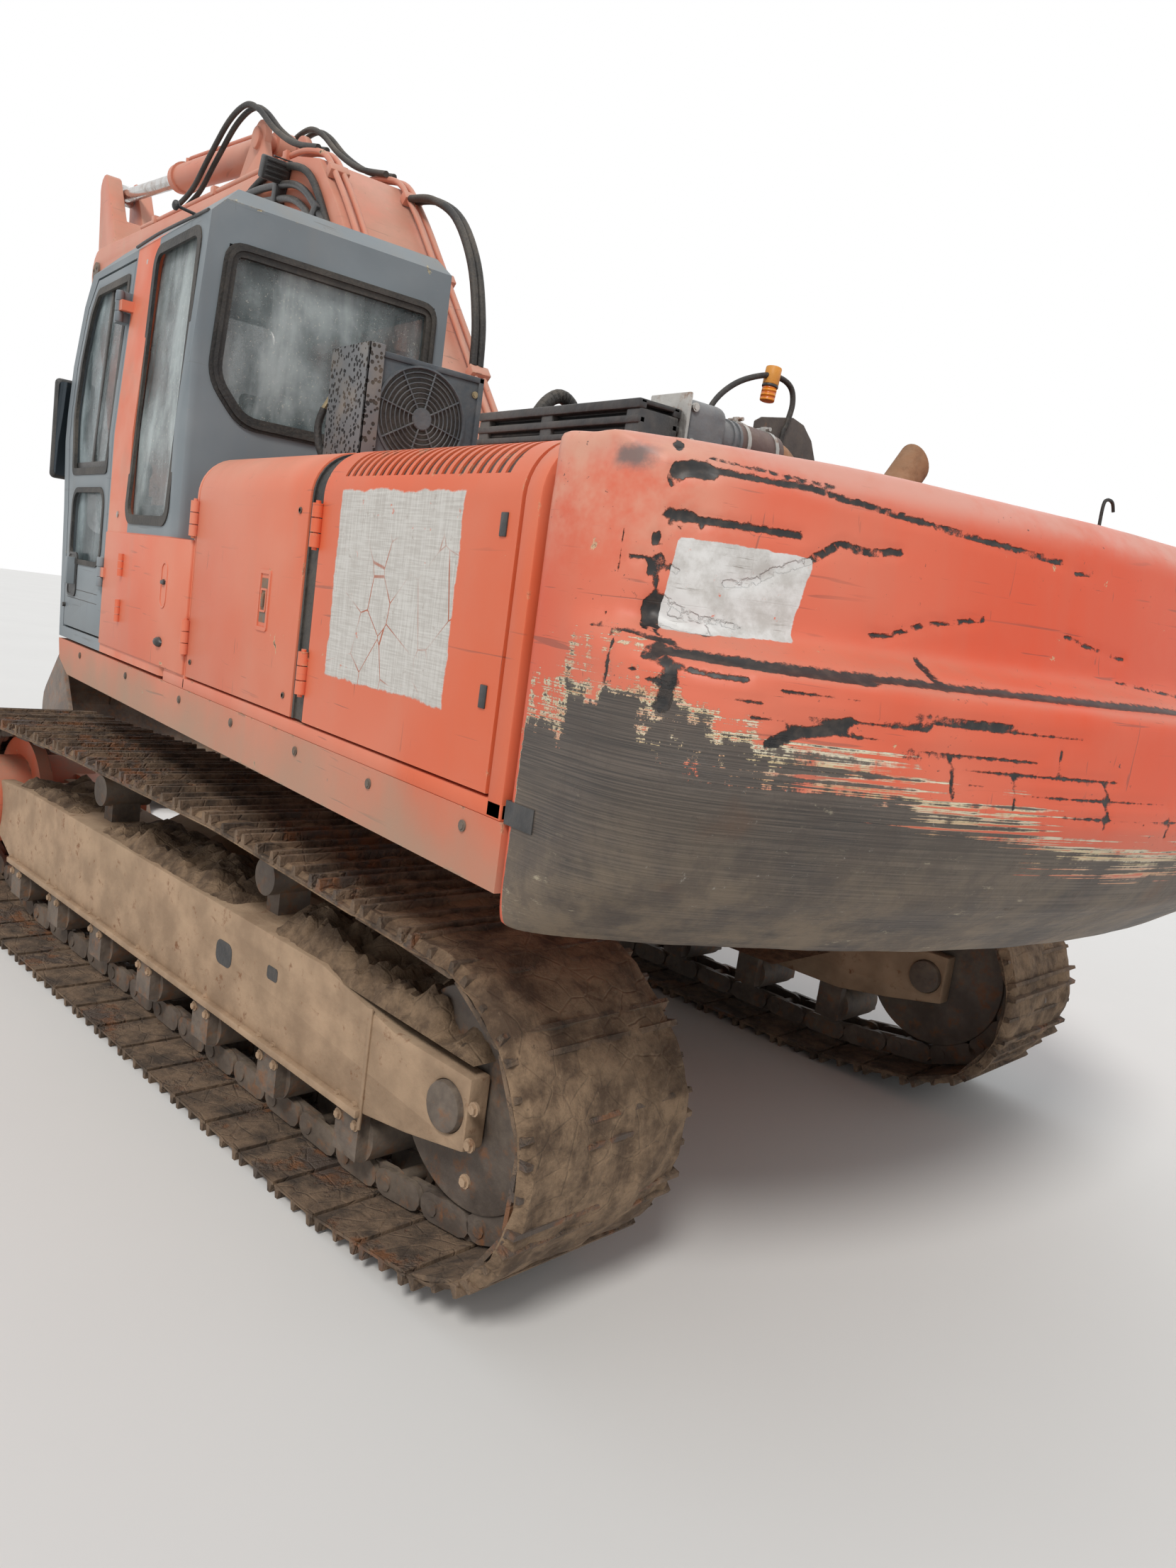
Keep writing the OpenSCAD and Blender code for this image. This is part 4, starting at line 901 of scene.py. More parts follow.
# Scrapes and gouges on the counterweight as (width, then points of side distance and height)
GOUGES = [
    (0.012, (1.475, 2.117), (1.452, 2.136), (1.365, 2.14), (1.281, 2.139), (1.158, 2.137), (1.1, 2.129),
    (1.012, 2.12), (0.918, 2.111), (0.819, 2.104), (0.711, 2.097), (0.552, 2.088)), (0.007, (1.481,
    2.077), (1.465, 2.099), (1.415, 2.127)), (0.014, (1.472, 2.047), (1.383, 2.045), (1.244, 2.047),
    (1.174, 2.046)), (0.012, (1.493, 1.937), (1.492, 1.953), (1.452, 1.957), (1.424, 1.953), (1.407,
    1.943)), (0.014, (1.309, 1.937), (1.26, 1.945), (1.217, 1.974), (1.151, 2.004), (1.093, 2.044),
    (1.059, 2.038), (1.023, 2.038), (0.967, 2.048)), (0.022, (1.491, 1.845), (1.464, 1.863), (1.436,
    1.858), (1.402, 1.853), (1.351, 1.849)), (0.012, (1.48, 1.805), (1.2, 1.803), (0.9, 1.806), (0.6,
    1.81), (0.295, 1.815), (-0.1, 1.812), (-0.5, 1.808)), (0.014, (0.961, 1.803), (0.923, 1.845)), (0.009,
    (1.019, 1.881), (0.975, 1.887), (0.901, 1.916), (0.754, 1.946)), (0.006, (1.346, 1.707), (1.213,
    1.719), (1.006, 1.721)), (0.022, (1.308, 1.664), (1.265, 1.69), (1.209, 1.7), (1.168, 1.719)),
    (0.008, (0.949, 1.677), (0.93, 1.594)), (0.007, (0.791, 1.656), (0.777, 1.587)), (0.009, (0.531,
    1.645), (0.5, 1.552)), (0.007, (0.296, 1.586), (0.269, 1.535)), (0.006, (0.682, 1.707), (0.675,
    1.664)), (0.028, (1.487, 2.001), (1.486, 2.003)), (0.02, (1.447, 2.177), (1.427, 2.185)), (0.008,
    (0.522, 1.939), (0.434, 1.922), (0.318, 1.91)), (0.008, (0.51, 2.073), (0.443, 2.079)), (0.01, (-0.2,
    1.98), (-0.55, 1.96), (-0.8, 1.99)), (0.012, (-0.9, 2.07), (-1.25, 2.05)), (0.012, (-1.1, 1.86),
    (-1.4, 1.88)), (0.034, (1.455, 2.128), (1.4, 2.138), (1.36, 2.136)), (0.014, (1.475, 1.955), (1.455,
    1.8), (1.462, 1.7)), (0.052, (1.475, 1.872), (1.45, 1.874)), (0.007, (1.56, 1.962), (1.48, 1.968),
    (1.452, 1.966)), (0.008, (1.53, 1.83), (1.48, 1.822), (1.42, 1.818)), (0.01, (1.5, 1.79), (1.42,
    1.775), (1.36, 1.772)), (0.006, (1.55, 1.77), (1.46, 1.745), (1.33, 1.735)), (0.005, (1.47, 2.06),
    (1.455, 2.03), (1.4, 2.022)), (0.016, (1.475, 1.805), (1.3, 1.8), (1.12, 1.797)), (0.005, (1.36,
    2.165), (1.22, 2.155), (1.1, 2.148)), (0.005, (1.3, 1.762), (1.05, 1.752), (0.82, 1.748)), (0.006,
    (1.1, 1.742), (0.95, 1.735), (0.62, 1.738)), (0.005, (1.22, 1.7), (1.02, 1.683), (0.74, 1.68)),
    (0.006, (1.05, 1.665), (0.8, 1.652), (0.5, 1.655)), (0.005, (0.9, 1.625), (0.64, 1.612), (0.3,
    1.617)), (0.006, (0.7, 1.58), (0.42, 1.568), (0.1, 1.575)), (0.01, (1.62, 1.86), (1.585, 1.8),
    (1.6, 1.72)), (0.006, (1.66, 1.83), (1.6, 1.835), (1.54, 1.828)), (0.005, (1.6, 2.05), (1.585,
    1.98), (1.6, 1.9)), (0.004, (1.5, 1.9), (1.49, 1.85), (1.5, 1.8)), (0.005, (1.47, 2.062), (1.4,
    2.06), (1.37, 2.03)), (0.01, (1.45, 1.9), (1.36, 1.868), (1.28, 1.862)), (0.006, (1.462, 1.995),
    (1.458, 1.93)), (0.005, (0.35, 1.86), (0.05, 1.845), (-0.3, 1.85)),
]
# Height down to which the counterweight kept its paint, along its width
WEAR_LINE = [(1.8, 1.66), (1.6, 1.76), (1.5, 1.74), (1.44, 1.68), (1.32, 1.632), (1.073, 1.609),
             (0.963, 1.566), (0.746, 1.543), (0.665, 1.499), (0.141, 1.468), (-0.4, 1.475), (-0.9, 1.51),
             (-1.25, 1.6), (-1.49, 1.74), (-1.6, 1.6)]
BLANK_PLATE = [(1.423, 2.01), (1.143, 2.009), (1.186, 1.845), (1.45, 1.837)]


def remeshed(bm, size):
    """A bmesh's shape as an even fine mesh."""
    mesh = bpy.data.meshes.new("to_remesh")
    bm.to_mesh(mesh)
    bm.free()
    made = bpy.data.objects.new("to_remesh", mesh)
    bpy.context.scene.collection.objects.link(made)
    skin = made.modifiers.new("skin", "REMESH")
    skin.mode, skin.voxel_size = "VOXEL", size
    fine = bmesh.new()
    fine.from_object(made, bpy.context.evaluated_depsgraph_get())
    bpy.data.objects.remove(made)
    bpy.data.meshes.remove(mesh)
    return fine


def gap_to_line(spots, points):
    """Distance of each spot from a line through points, all in one plane."""
    best = np.full(len(spots), 9.0)
    for start, end in zip(points, points[1:]):
        start, step = np.array(start), np.array(end) - np.array(start)
        share = np.clip(((spots - start) @ step) / max(1e-9, step @ step), 0, 1)
        best = np.minimum(best, np.linalg.norm(spots - start - share[:, None] * step, axis=1))
    return best


def weight_reach(z):
    """How far the counterweight's rounded back stands from the swing's axis, at a height."""
    if z < 1.56:
        return SWING_R - 0.11 * min(1.0, (1.56 - z) / 0.21) - 0.22 * max(0.0, (1.35 - z) / 0.17)
    return SWING_R if z < 1.79 else SWING_R - 0.15 * min(1.0, (z - 1.79) / 0.06) - 0.03


def round_weight(bm):
    """Rounds the counterweight's upright corners in plan, and softens its other edges."""
    corner = 0.26
    for v in bm.verts:
        reach = weight_reach(v.co.z)
        side = math.copysign(1.0, v.co.y)
        middle = Vector((-math.sqrt((reach - corner) ** 2 - (SIDE - corner) ** 2), side * (SIDE - corner)))
        away = Vector((v.co.x, v.co.y)) - middle
        outer = middle.normalized()
        inside = away.y * side > 0 and away.x * outer.y * side - away.y * side * outer.x > 0
        if inside and away.x < 0 and away.length > corner:
            away *= corner / away.length
            v.co.x, v.co.y = middle.x + away.x, middle.y + away.y
    for _ in range(7):
        bmesh.ops.smooth_vert(bm, verts=bm.verts, factor=0.5,
                              use_axis_x=True, use_axis_y=True, use_axis_z=True)
    bm.normal_update()


def weight_marks(bm):
    """Dents the counterweight and notes on each vertex how worn, gouged and plated it is."""
    bm.verts.ensure_lookup_table()
    layers = {name: bm.verts.layers.float.new(name) for name in ("worn", "gouge", "plate")}
    places = np.array([v.co[:] for v in bm.verts])
    round_end = np.maximum(0, places[:, 0] - (WEIGHT_HIGH.x - 0.36)) * np.clip(
        (np.abs(places[:, 1]) - SIDE + 0.22) / 0.2, 0, 1)
    across = places[:, 1] + np.sign(places[:, 1]) * round_end
    spots = np.column_stack([across, places[:, 2]])
    line = np.array(WEAR_LINE[::-1])
    worn = np.interp(across, line[:, 0], line[:, 1]) - places[:, 2]
    worn[places[:, 0] > WEIGHT_HIGH.x - 0.02] = -0.2
    gouge = np.full(len(spots), 1.0)
    for width, *points in GOUGES:
        gouge = np.minimum(gouge, gap_to_line(spots, points) - width / 2)
    gouge[places[:, 0] > WEIGHT_HIGH.x - 0.06] = 1.0
    inside = np.full(len(spots), -1.0)
    for a, b in zip(BLANK_PLATE, BLANK_PLATE[1:] + BLANK_PLATE[:1]):
        edge = np.array(b) - np.array(a)
        out = np.array([-edge[1], edge[0]]) / np.linalg.norm(edge)
        inside = np.maximum(inside, -(spots - np.array(a)) @ out)
    for v, w, g, p in zip(bm.verts, worn, gouge, inside):
        v[layers["worn"]], v[layers["gouge"]], v[layers["plate"]] = w, g, p
        if v.co.x < WEIGHT_HIGH.x - 0.02:
            dent = noise.noise(v.co * 2.1) * 0.004 + noise.noise(v.co * 7.0) * (0.0026 if w > 0 else 0.0009)
            ridge = noise.noise(Vector((v.co.y * 1.3, v.co.z * 26, 3))) * 0.0016 if w > 0 else 0.0
            dip = max(0.0, 0.006 - g) * 0.5 if g < 0.006 else 0.0
            v.co += v.normal * (dent + ridge - dip)
    # The bruised upper corner on the cab side
    bruise = Vector((WEIGHT_HIGH.x - 0.1, SIDE - 0.05, WEIGHT_HIGH.z - 0.03))
    for v in bm.verts:
        near = (v.co - bruise).length
        if near < 0.19:
            depth = 0.016 * (1 - near / 0.19) ** 2 * (1 + 0.7 * noise.noise(v.co * 16))
            v.co -= v.normal * depth


class WeightOperator(bpy.types.Operator):
    """Makes the scraped and dented counterweight."""

    bl_idname = "excavator.weight"
    bl_label = "Counterweight"

    def execute(self, context):
        bm = remeshed(node_copy("counterweight"), 0.0135)
        round_weight(bm)
        weight_marks(bm)
        piece("counterweight_look", bm, BODY["counterweight"], "weight", angle=50, node="counterweight",
              outward=False)
        return {"FINISHED"}


# Tracks and undercarriage

# Height of a link, thickness of a shoe's sheet, height of a rib
LINK_HEIGHT, SHOE_SHEET, RIB = 0.1, 0.014, 0.031
SHOES = 45
# Distance of a shoe's middle from the machine's, and of the frame's outside from that
SHOE_MIDDLE, FRAME_HALF = 1.295, 0.18
ROLL_X, TUMBLER_X, CARRIER_X = 1.42, 1.865, 0.7
# The wheels in order round a track: place along X, height, radius
WHEELS = [(ROLL_X, 0.23, 0.085), (TUMBLER_X, 0.55, 0.31), (CARRIER_X, 0.83, 0.065),
          (-CARRIER_X, 0.83, 0.065), (-TUMBLER_X, 0.52, 0.31), (-ROLL_X, 0.23, 0.085)]


class TrackPath:
    """The closed way round a track's wheels, at a distance outside them."""

    def __init__(self, out):
        self.points = []
        angles = [self.wrap(a, b) for a, b in zip(WHEELS, WHEELS[1:] + WHEELS[:1])]
        for i, (x, z, radius) in enumerate(WHEELS):
            start, sweep = angles[i - 1], (angles[i] - angles[i - 1]) % math.tau
            count = max(3, math.ceil(math.degrees(sweep) / 5))
            for k in range(count + 1):
                a = start + sweep * k / count
                reach = radius + out
                self.points.append(Vector((x + reach * math.cos(a), 0, z + reach * math.sin(a))))
        self.steps = [(b - a).length for a, b in zip(self.points, self.points[1:] + self.points[:1])]
        self.length = sum(self.steps)

    @staticmethod
    def wrap(a, b):
        far = math.hypot(b[0] - a[0], b[1] - a[1])
        return math.atan2(b[1] - a[1], b[0] - a[0]) - math.acos((a[2] - b[2]) / far)

    def frame(self, share, spread=0.0):
        """A frame at a share of the length: X along the way, Z outwards from the wheels."""
        here, ahead = self.at(share - spread), self.at(share + spread) if spread else None
        place, along = (here[0] + ahead[0]) / 2 if ahead else here[0], here[1]
        if ahead:
            along = (ahead[0] - here[0]).normalized()
        out = Vector((along.z, 0, -along.x))
        basis = Matrix((along, out.cross(along), out)).transposed().to_4x4()
        return Matrix.Translation(place) @ basis

    def at(self, share):
        """Place and heading at a share of the whole round."""
        left = (share % 1.0) * self.length
        for i, step in enumerate(self.steps):
            if left <= step:
                a, b = self.points[i], self.points[(i + 1) % len(self.points)]
                return a.lerp(b, left / step if step else 0), (b - a).normalized()
            left -= step
        return self.points[0], (self.points[1] - self.points[0]).normalized()


def shoe(pitch):
    """One shoe plate with its three ribs and four bolts, its chain side at Z 0."""
    bm = bmesh.new()
    half, top = pitch / 2 - 0.003, SHOE_SHEET
    line = [(-half, 0), (half - 0.018, 0), (half, 0.008), (half, 0.016)]
    for at_x, width, height in ((half - 0.016, 0.012, RIB), (0.0, 0.012, RIB * 0.85),
                                (-half + 0.022, 0.013, RIB)):
        line += [(at_x + width, top), (at_x + width * 0.55, top + height),
                 (at_x - width * 0.55, top + height), (at_x - width, top)]
    line += [(-half, top)]
    turn = Matrix.Translation((0, 0.296, 0)) @ Matrix.Rotation(math.pi / 2, 4, "X")
    plate(bm, line, 0.592, turn)
    for x in (-0.042, 0.018):
        for y in (-0.085, 0.085):
            rod(bm, (x, y, top), (x, y, top + 0.012), 0.013, 6)
    return bm


def link(pitch):
    """The two pairs of link plates at one pitch, with the bush between them."""
    bm = bmesh.new()
    for side in (-1, 1):
        for shift, y in ((0.0, 0.078), (pitch / 2, 0.058)):
            line = arc((shift - pitch * 0.3, -0.052), 0.042, 90, 270, 5) + arc(
                (shift + pitch * 0.3, -0.052), 0.042, -90, 90, 5)
            turn = Matrix.Translation((0, side * y + 0.009, 0)) @ Matrix.Rotation(math.pi / 2, 4, "X")
            plate(bm, line, 0.018, turn)
    rod(bm, (pitch / 4, -0.092, -0.052), (pitch / 4, 0.092, -0.052), 0.024, 10)
    return bm


def mud_depth(place, caked):
    """How thick the mud lies on a track: most at the back of the cab side, and more below than above."""
    depth = 0.65 if caked else 0.15
    depth *= min(1, max(0, (-place.x - 1.45) / 0.4))
    depth *= min(1, max(0.15, place.z * 2.2))
    return depth + (0.3 if place.z < 0.3 else 0.22) - 0.1


def mud_band(bm, path, rng, caked, rise):
    """A skin of dried mud over the shoes, which rises over the ribs where it is thick."""
    made = bmesh.ops.create_grid(bm, x_segments=520, y_segments=22, size=0.5)["verts"]
    seed = Vector((rng.uniform(0, 50), rng.uniform(0, 50), 0))
    frames = {}
    for v in made:
        share, wide = round(v.co.x + 0.5, 5), v.co.y * 2
        if share not in frames:
            frames[share] = path.frame(share % 1.0)
        here = frames[share]
        place = here.translation
        rough = noise.fractal(Vector((share * 44, wide * 2.4, 0)) + seed, 0.9, 2.1, 5)
        fine = noise.noise(Vector((share * 260, wide * 11, 5)) + seed)
        height = SHOE_SHEET + 0.004 + mud_depth(place, caked) * rise + rough * 0.016 + fine * 0.004
        edge = max(0.0, abs(wide) - 0.93) / 0.07
        height -= edge * 0.03
        v.co = here @ Vector((0, wide * 0.299, max(0.002, height)))


def heap(bm, low, high, height, rng, count=(90, 16)):
    """A ragged heap of mud on a long flat strip between two corners."""
    low, high = Vector(low), Vector(high)
    made = bmesh.ops.create_grid(bm, x_segments=count[0], y_segments=count[1], size=0.5)["verts"]
    seed = Vector((rng.uniform(0, 50), rng.uniform(0, 50), 0))
    for v in made:
        u, w = v.co.x + 0.5, v.co.y + 0.5
        place = Vector((low.x + (high.x - low.x) * u, low.y + (high.y - low.y) * w,
                        low.z + (high.z - low.z) * u))
        rim = min(1.0, 6 * min(w, 1 - w)) * min(1.0, 12 * min(u, 1 - u))
        rough = noise.fractal(place * 5.5 + seed, 0.8, 2.1, 5) * 0.5 + noise.noise(place * 40) * 0.12 + 0.45
        v.co = place + Vector((0, 0, height * rim * rough - 0.012))


class TrackOperator(bpy.types.Operator):
    """Lays the tracks: shoes, chains, and the mud on them."""

    bl_idname = "excavator.tracks"
    bl_label = "Tracks"

    def execute(self, context):
        rng = random.Random(11)
        path = TrackPath(LINK_HEIGHT)
        pitch = path.length / SHOES
        for node, side in (("track_left", 1), ("track_right", -1)):
            shoes, chain, mud = meshes(3)
            places = [path.frame((k + 0.5) / SHOES, 0.45 / SHOES)
                      @ Matrix.Rotation(rng.uniform(-0.008, 0.008), 4, "Y") for k in range(SHOES)]
            stamp(shoes, shoe(pitch), places)
            stamp(chain, link(pitch), places)
            mud_band(mud, path, rng, side > 0, context.scene.excavator_tracks.mud_rise)
            turn = TRACK_TURN @ Matrix.Translation((0, side * SHOE_MIDDLE, 0))
            for name, bm, paint in (("shoes", shoes, "track"), ("chain", chain, "steel"),
                                    ("mud", mud, "mud")):
                bmesh.ops.transform(bm, matrix=turn, verts=bm.verts)
                piece(node + "_" + name, bm, BODY[node], paint, 38, node, name != "mud")
        return {"FINISHED"}


def side_frame(fine, dark, side):
    """The rollers' ends, bolts, flange, access holes and seams on the outside of one track frame; the access holes
    are thin dark plates of painted shade.
    """
    out = side * (SHOE_MIDDLE + FRAME_HALF)
    for i in range(7):
        x = -ROLL_X + 2 * ROLL_X * i / 6
        rod(fine, (x, out - side * 0.012, 0.23), (x, out - side * 0.03, 0.23), 0.048, 18)
        for dx in (-0.045, 0.045):
            bolt(fine, (x + dx, out - side * 0.01, 0.285), (0, side, 0), 0.012)
            bolt(fine, (x + dx, out, 0.35), (0, side, 0), 0.01)
    # Lower flange of the frame, and its access holes as thin dark plates of painted shade
    block(fine, (-ROLL_X - 0.08, out - side * 0.002, 0.328),
          (ROLL_X + 0.05, out + side * 0.022, 0.352), 0.003)
    for hole in ((-0.675, 0.5, -0.565, 0.585, 0.03), (-0.975, 0.555, -0.91, 0.6, 0.012)):
        made = plate(dark, rounded(*hole), 0.0012)
        placed(dark, made, on_side(out))
    # Seam of the idler's guard, its bolts, and the bolts of the final drive
    block(fine, (-1.505, out - side * 0.001, 0.29), (-1.49, out + side * 0.006, 0.66), 0.002)
    for z in (0.34, 0.44, 0.54):
        bolt(fine, (-1.98, out, z + 0.02), (0, side, 0), 0.013)
    for degrees in range(0, 360, 30):
        a = math.radians(degrees)
        bolt(fine, (TUMBLER_X + 0.185 * math.cos(a), out + side * 0.04, 0.55 + 0.185 * math.sin(a)),
             (0, side, 0), 0.011, 0.01)
    bolt(fine, (TUMBLER_X, out + side * 0.085, 0.55), (0, side, 0), 0.03, 0.016)


class UnderOperator(bpy.types.Operator):
    """Adds the bolts, plates and mud heaps of the undercarriage."""

    bl_idname = "excavator.undercarriage"
    bl_label = "Undercarriage"

    def execute(self, context):
        rng = random.Random(5)
        fine, mud, dark = meshes(3)
        for side in (-1, 1):
            side_frame(fine, dark, side)
            low = side * SHOE_MIDDLE - 0.175
            heap(mud, (-1.95, low, 0.675), (-0.82, low + 0.35, 0.7), 0.17, rng)
            heap(mud, (-0.6, low, 0.7), (0.6, low + 0.35, 0.7), 0.12, rng)
            heap(mud, (0.82, low, 0.7), (1.5, low + 0.35, 0.69), 0.1, rng)
            heap(mud, (-1.45, side * 0.8 - 0.22, 0.52), (0.2, side * 0.8 + 0.22, 0.52), 0.05, rng)
        heap(mud, (-0.72, -0.6, 0.918), (0.72, 0.6, 0.918), 0.05, rng, (40, 34))
        # The dark piece holds only the access holes: thin plates of painted shade.
        for bm, paint in ((fine, "frame"), (mud, "mud"), (dark, "dark")):
            bmesh.ops.transform(bm, matrix=TRACK_TURN, verts=bm.verts)
            piece("undercarriage_" + paint, bm, BODY["car_body"], paint, 38,
                  outward=bm is not mud)
        return {"FINISHED"}


# Covers over the engine, the radiators and the pumps

COVER_R, COVER_T, LIP = 0.14, 0.04, 1.353
COVER_LOW = DECK_TOP + 0.046
FRONT_DOOR, REAR_DOOR = (-1.384, -0.489), (-2.42, -1.472)
HINGE_LEVELS, HINGE_SIZE = (1.52, 1.92), 0.12
# The rear door's air slots: how many, their pitch and width, the first one's place, and their ends in degrees
SLOT_COUNT, SLOT_PITCH, SLOT, FIRST_SLOT = 21, 0.038, 0.021, -1.58
SLOT_LOW, SLOT_HIGH = 22, 76
# Where the covers' doors meet, their inner wall, and where the open bay starts
SEAM, INNER, BAY_SIDE = -1.434, 0.64, 1.16


def ringed(bm, points, width, height, matrix):
    """A flat frame inside an outline, raised by its height."""
    face = flat_face(bm, points)
    rim = bmesh.ops.inset_region(
        bm, faces=[face], thickness=width, use_even_offset=True, use_boundary=True)["faces"]
    bmesh.ops.delete(bm, geom=[face], context="FACES_ONLY")
    raised = bmesh.ops.extrude_face_region(bm, geom=rim, use_keep_orig=True)["geom"]
    top = [v for v in raised if isinstance(v, bmesh.types.BMVert)]
    bmesh.ops.translate(bm, vec=(0, 0, height), verts=top)
    made = list({v for f in rim for v in f.verts} | set(top))
    placed(bm, made, matrix)
    return made


def eased(bm, made, width=0.005, limit=50):
    """Rounds the sharp edges of some new vertices."""
    mine = set(made)
    sharp = [e for e in bm.edges if e.verts[0] in mine and e.verts[1] in mine
             and e.is_manifold and e.calc_face_angle(0) > math.radians(limit)]
    bevelled(bm, sharp, width)


def across(side, x):
    """A plane across X at a place, for outlines given along Y and Z, on either side of the machine."""
    return Matrix.Diagonal((1, side, 1, 1)) @ on_front(x)


def cover_line(inner, low, inset=0.0, wall=COVER_T, start=0, end=90):
    """A cover's section: its side, its round shoulder from one angle to another, and its roof."""
    middle, radius = (SIDE - COVER_R, COVER_TOP - COVER_R), COVER_R - inset
    outside = arc(middle, radius, start, end, 10)
    inside = arc(middle, radius - wall, end, start, 10)
    if low is not None:
        outside = [(SIDE - inset, low)] + outside
        inside = inside + [(SIDE - inset - wall, low)]
    if inner is not None:
        outside = outside + [(inner, COVER_TOP - inset)]
        inside = [(inner, COVER_TOP - inset - wall)] + inside
    return outside + inside


def cover_run(bm, x0, x1, inner, low, side=1, inset=0.0, soft=0.005):
    """A length of a cover, from one place along X to another, its sharp edges rounded."""
    made = plate(bm, cover_line(inner, low, inset), x1 - x0, across(side, x0))
    if soft:
        eased(bm, made, soft)


def knuckles(bm, x, side=1):
    """The rolled knuckles of a cover's hinges."""
    y = side * (SIDE + 0.01)
    for z in HINGE_LEVELS:
        for k in range(3):
            low = z + HINGE_SIZE * k / 3 + 0.0015
            rod(bm, (x, y, low), (x, y, low + HINGE_SIZE / 3 - 0.003), 0.015, 14)
        rod(bm, (x, y, z - 0.006), (x, y, z + HINGE_SIZE + 0.006), 0.007, 10)


def slotted_door(bm, dark, x0, x1):
    """The rear cover door, its shoulder cut into bars by the air slots, with a dark strip inside them as painted
    shade.
    """
    plate(bm, cover_line(None, COVER_LOW, start=0, end=SLOT_LOW), x1 - x0, across(1, x0))
    plate(bm, cover_line(LIP, None, start=SLOT_HIGH, end=90), x1 - x0, across(1, x0))
    bars = [x1]
    for i in range(SLOT_COUNT):
        middle = FIRST_SLOT - SLOT_PITCH * i
        bars += [middle + SLOT / 2, middle - SLOT / 2]
    bars += [x0]
    for high, low in zip(bars[::2], bars[1::2]):
        plate(bm, cover_line(None, None, start=SLOT_LOW, end=SLOT_HIGH), high - low, across(1, low))
    # A dark strip set 5 mm inside the door's wall, seen only through the slots: painted shade in them.
    plate(dark, cover_line(None, None, 0.005, 0.003, 5, 88), x1 - x0 - 0.02, across(1, x0 + 0.01))


def left_covers(dark):
    """The fixed parts of the left covers, and the rubber between their doors."""
    rear, front = (corner.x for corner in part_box("left_housing"))
    shell, rubber = meshes(2)
    cover_run(shell, rear, REAR_DOOR[0] - 0.01, BAY_SIDE, DECK_TOP)
    cover_run(shell, FRONT_DOOR[1] + 0.008, FRONT_DOOR[1] + 0.026, INNER, DECK_TOP)
    under, top = COVER_TOP - COVER_T, COVER_TOP
    for low, high, bevel in (
            ((FRONT_DOOR[1], INNER, under), (FRONT_DOOR[1] + 0.02, LIP, top), 0.004),
            ((SEAM, INNER, under), (FRONT_DOOR[1], LIP - 0.008, top), 0.004),
            ((REAR_DOOR[0] - 0.01, BAY_SIDE, under), (SEAM - 0.04, LIP - 0.008, top), 0.004),
            ((rear, SIDE - 0.05, DECK_TOP), (front, SIDE, COVER_LOW - 0.008), 0.004),
            ((SEAM, INNER, DECK_TOP), (FRONT_DOOR[1], 0.68, under), 0.004),
            ((FRONT_DOOR[1] + 0.008, INNER, DECK_TOP), (FRONT_DOOR[1] + 0.026, SIDE - 0.03, 2.06), 0.0),
            ((FRONT_DOOR[1] + 0.026, INNER, DECK_TOP), (front, SIDE - 0.002, 1.905), 0.005)):
        block(shell, low, high, bevel)
    for x in (SEAM, rear):
        block(dark, (x, BAY_SIDE, DECK_TOP), (x + 0.02, SIDE - 0.05, 2.05))
    cover_run(rubber, REAR_DOOR[1] + 0.004, FRONT_DOOR[0] - 0.004, 0.7, COVER_LOW, inset=0.01, soft=0)
    for i in range(2):
        cover_run(rubber, FRONT_DOOR[0] - 0.016 - i * 0.062, FRONT_DOOR[0] - 0.006 - i * 0.062, 0.7,
                  COVER_LOW, inset=0.004, soft=0)
    piece("left_housing_look", shell, BODY["left_housing"], "orange", node="left_housing")
    piece("cover_gap_rubber", rubber, BODY["left_housing"], "rubber")


def left_doors():
    """The two doors of the left covers: one with a latch tray, one with air slots."""
    door, metal = meshes(2)
    cover_run(door, *FRONT_DOOR, LIP, COVER_LOW, soft=0.006)
    knuckles(door, PIN["left_front_door_hinge"].x)
    ringed(door, rounded(-1.166, 1.665, -1.082, 1.845, 0.012), 0.012, 0.005, on_side(SIDE - 0.001))
    block(metal, (-1.15, SIDE - 0.002, 1.69), (-1.098, SIDE + 0.001, 1.82), 0.0)
    ringed(door, rounded(-1.146, 1.72, -1.102, 1.79, 0.006), 0.006, 0.004, on_side(SIDE))
    block(metal, (-1.13, SIDE, 1.735), (-1.118, SIDE + 0.008, 1.775), 0.003)
    for x, z in ((-1.33, 1.5), (-1.33, 2.02), (-0.53, 1.5)):
        bolt(metal, (x, SIDE, z), (0, 1, 0), 0.006, 0.004)
    piece("left_front_door_look", door, "left_front_door", "orange", node="left_front_door")
    piece("front_door_latch", metal, "left_front_door", "steel")
    door, slot_shade_and_pads = meshes(2)
    slotted_door(door, slot_shade_and_pads, *REAR_DOOR)
    knuckles(door, PIN["left_rear_door_hinge"].x)
    piece("left_rear_door_look", door, "left_rear_door", "torn", node="left_rear_door")
    for z in (1.62, 1.98):
        block(slot_shade_and_pads, (-2.38, SIDE - 0.001, z), (-2.355, SIDE + 0.004, z + 0.05), 0.002)
    # This dark piece holds the painted shade in the slots and two small pads.
    piece("rear_door_liner", slot_shade_and_pads, "left_rear_door", "dark")


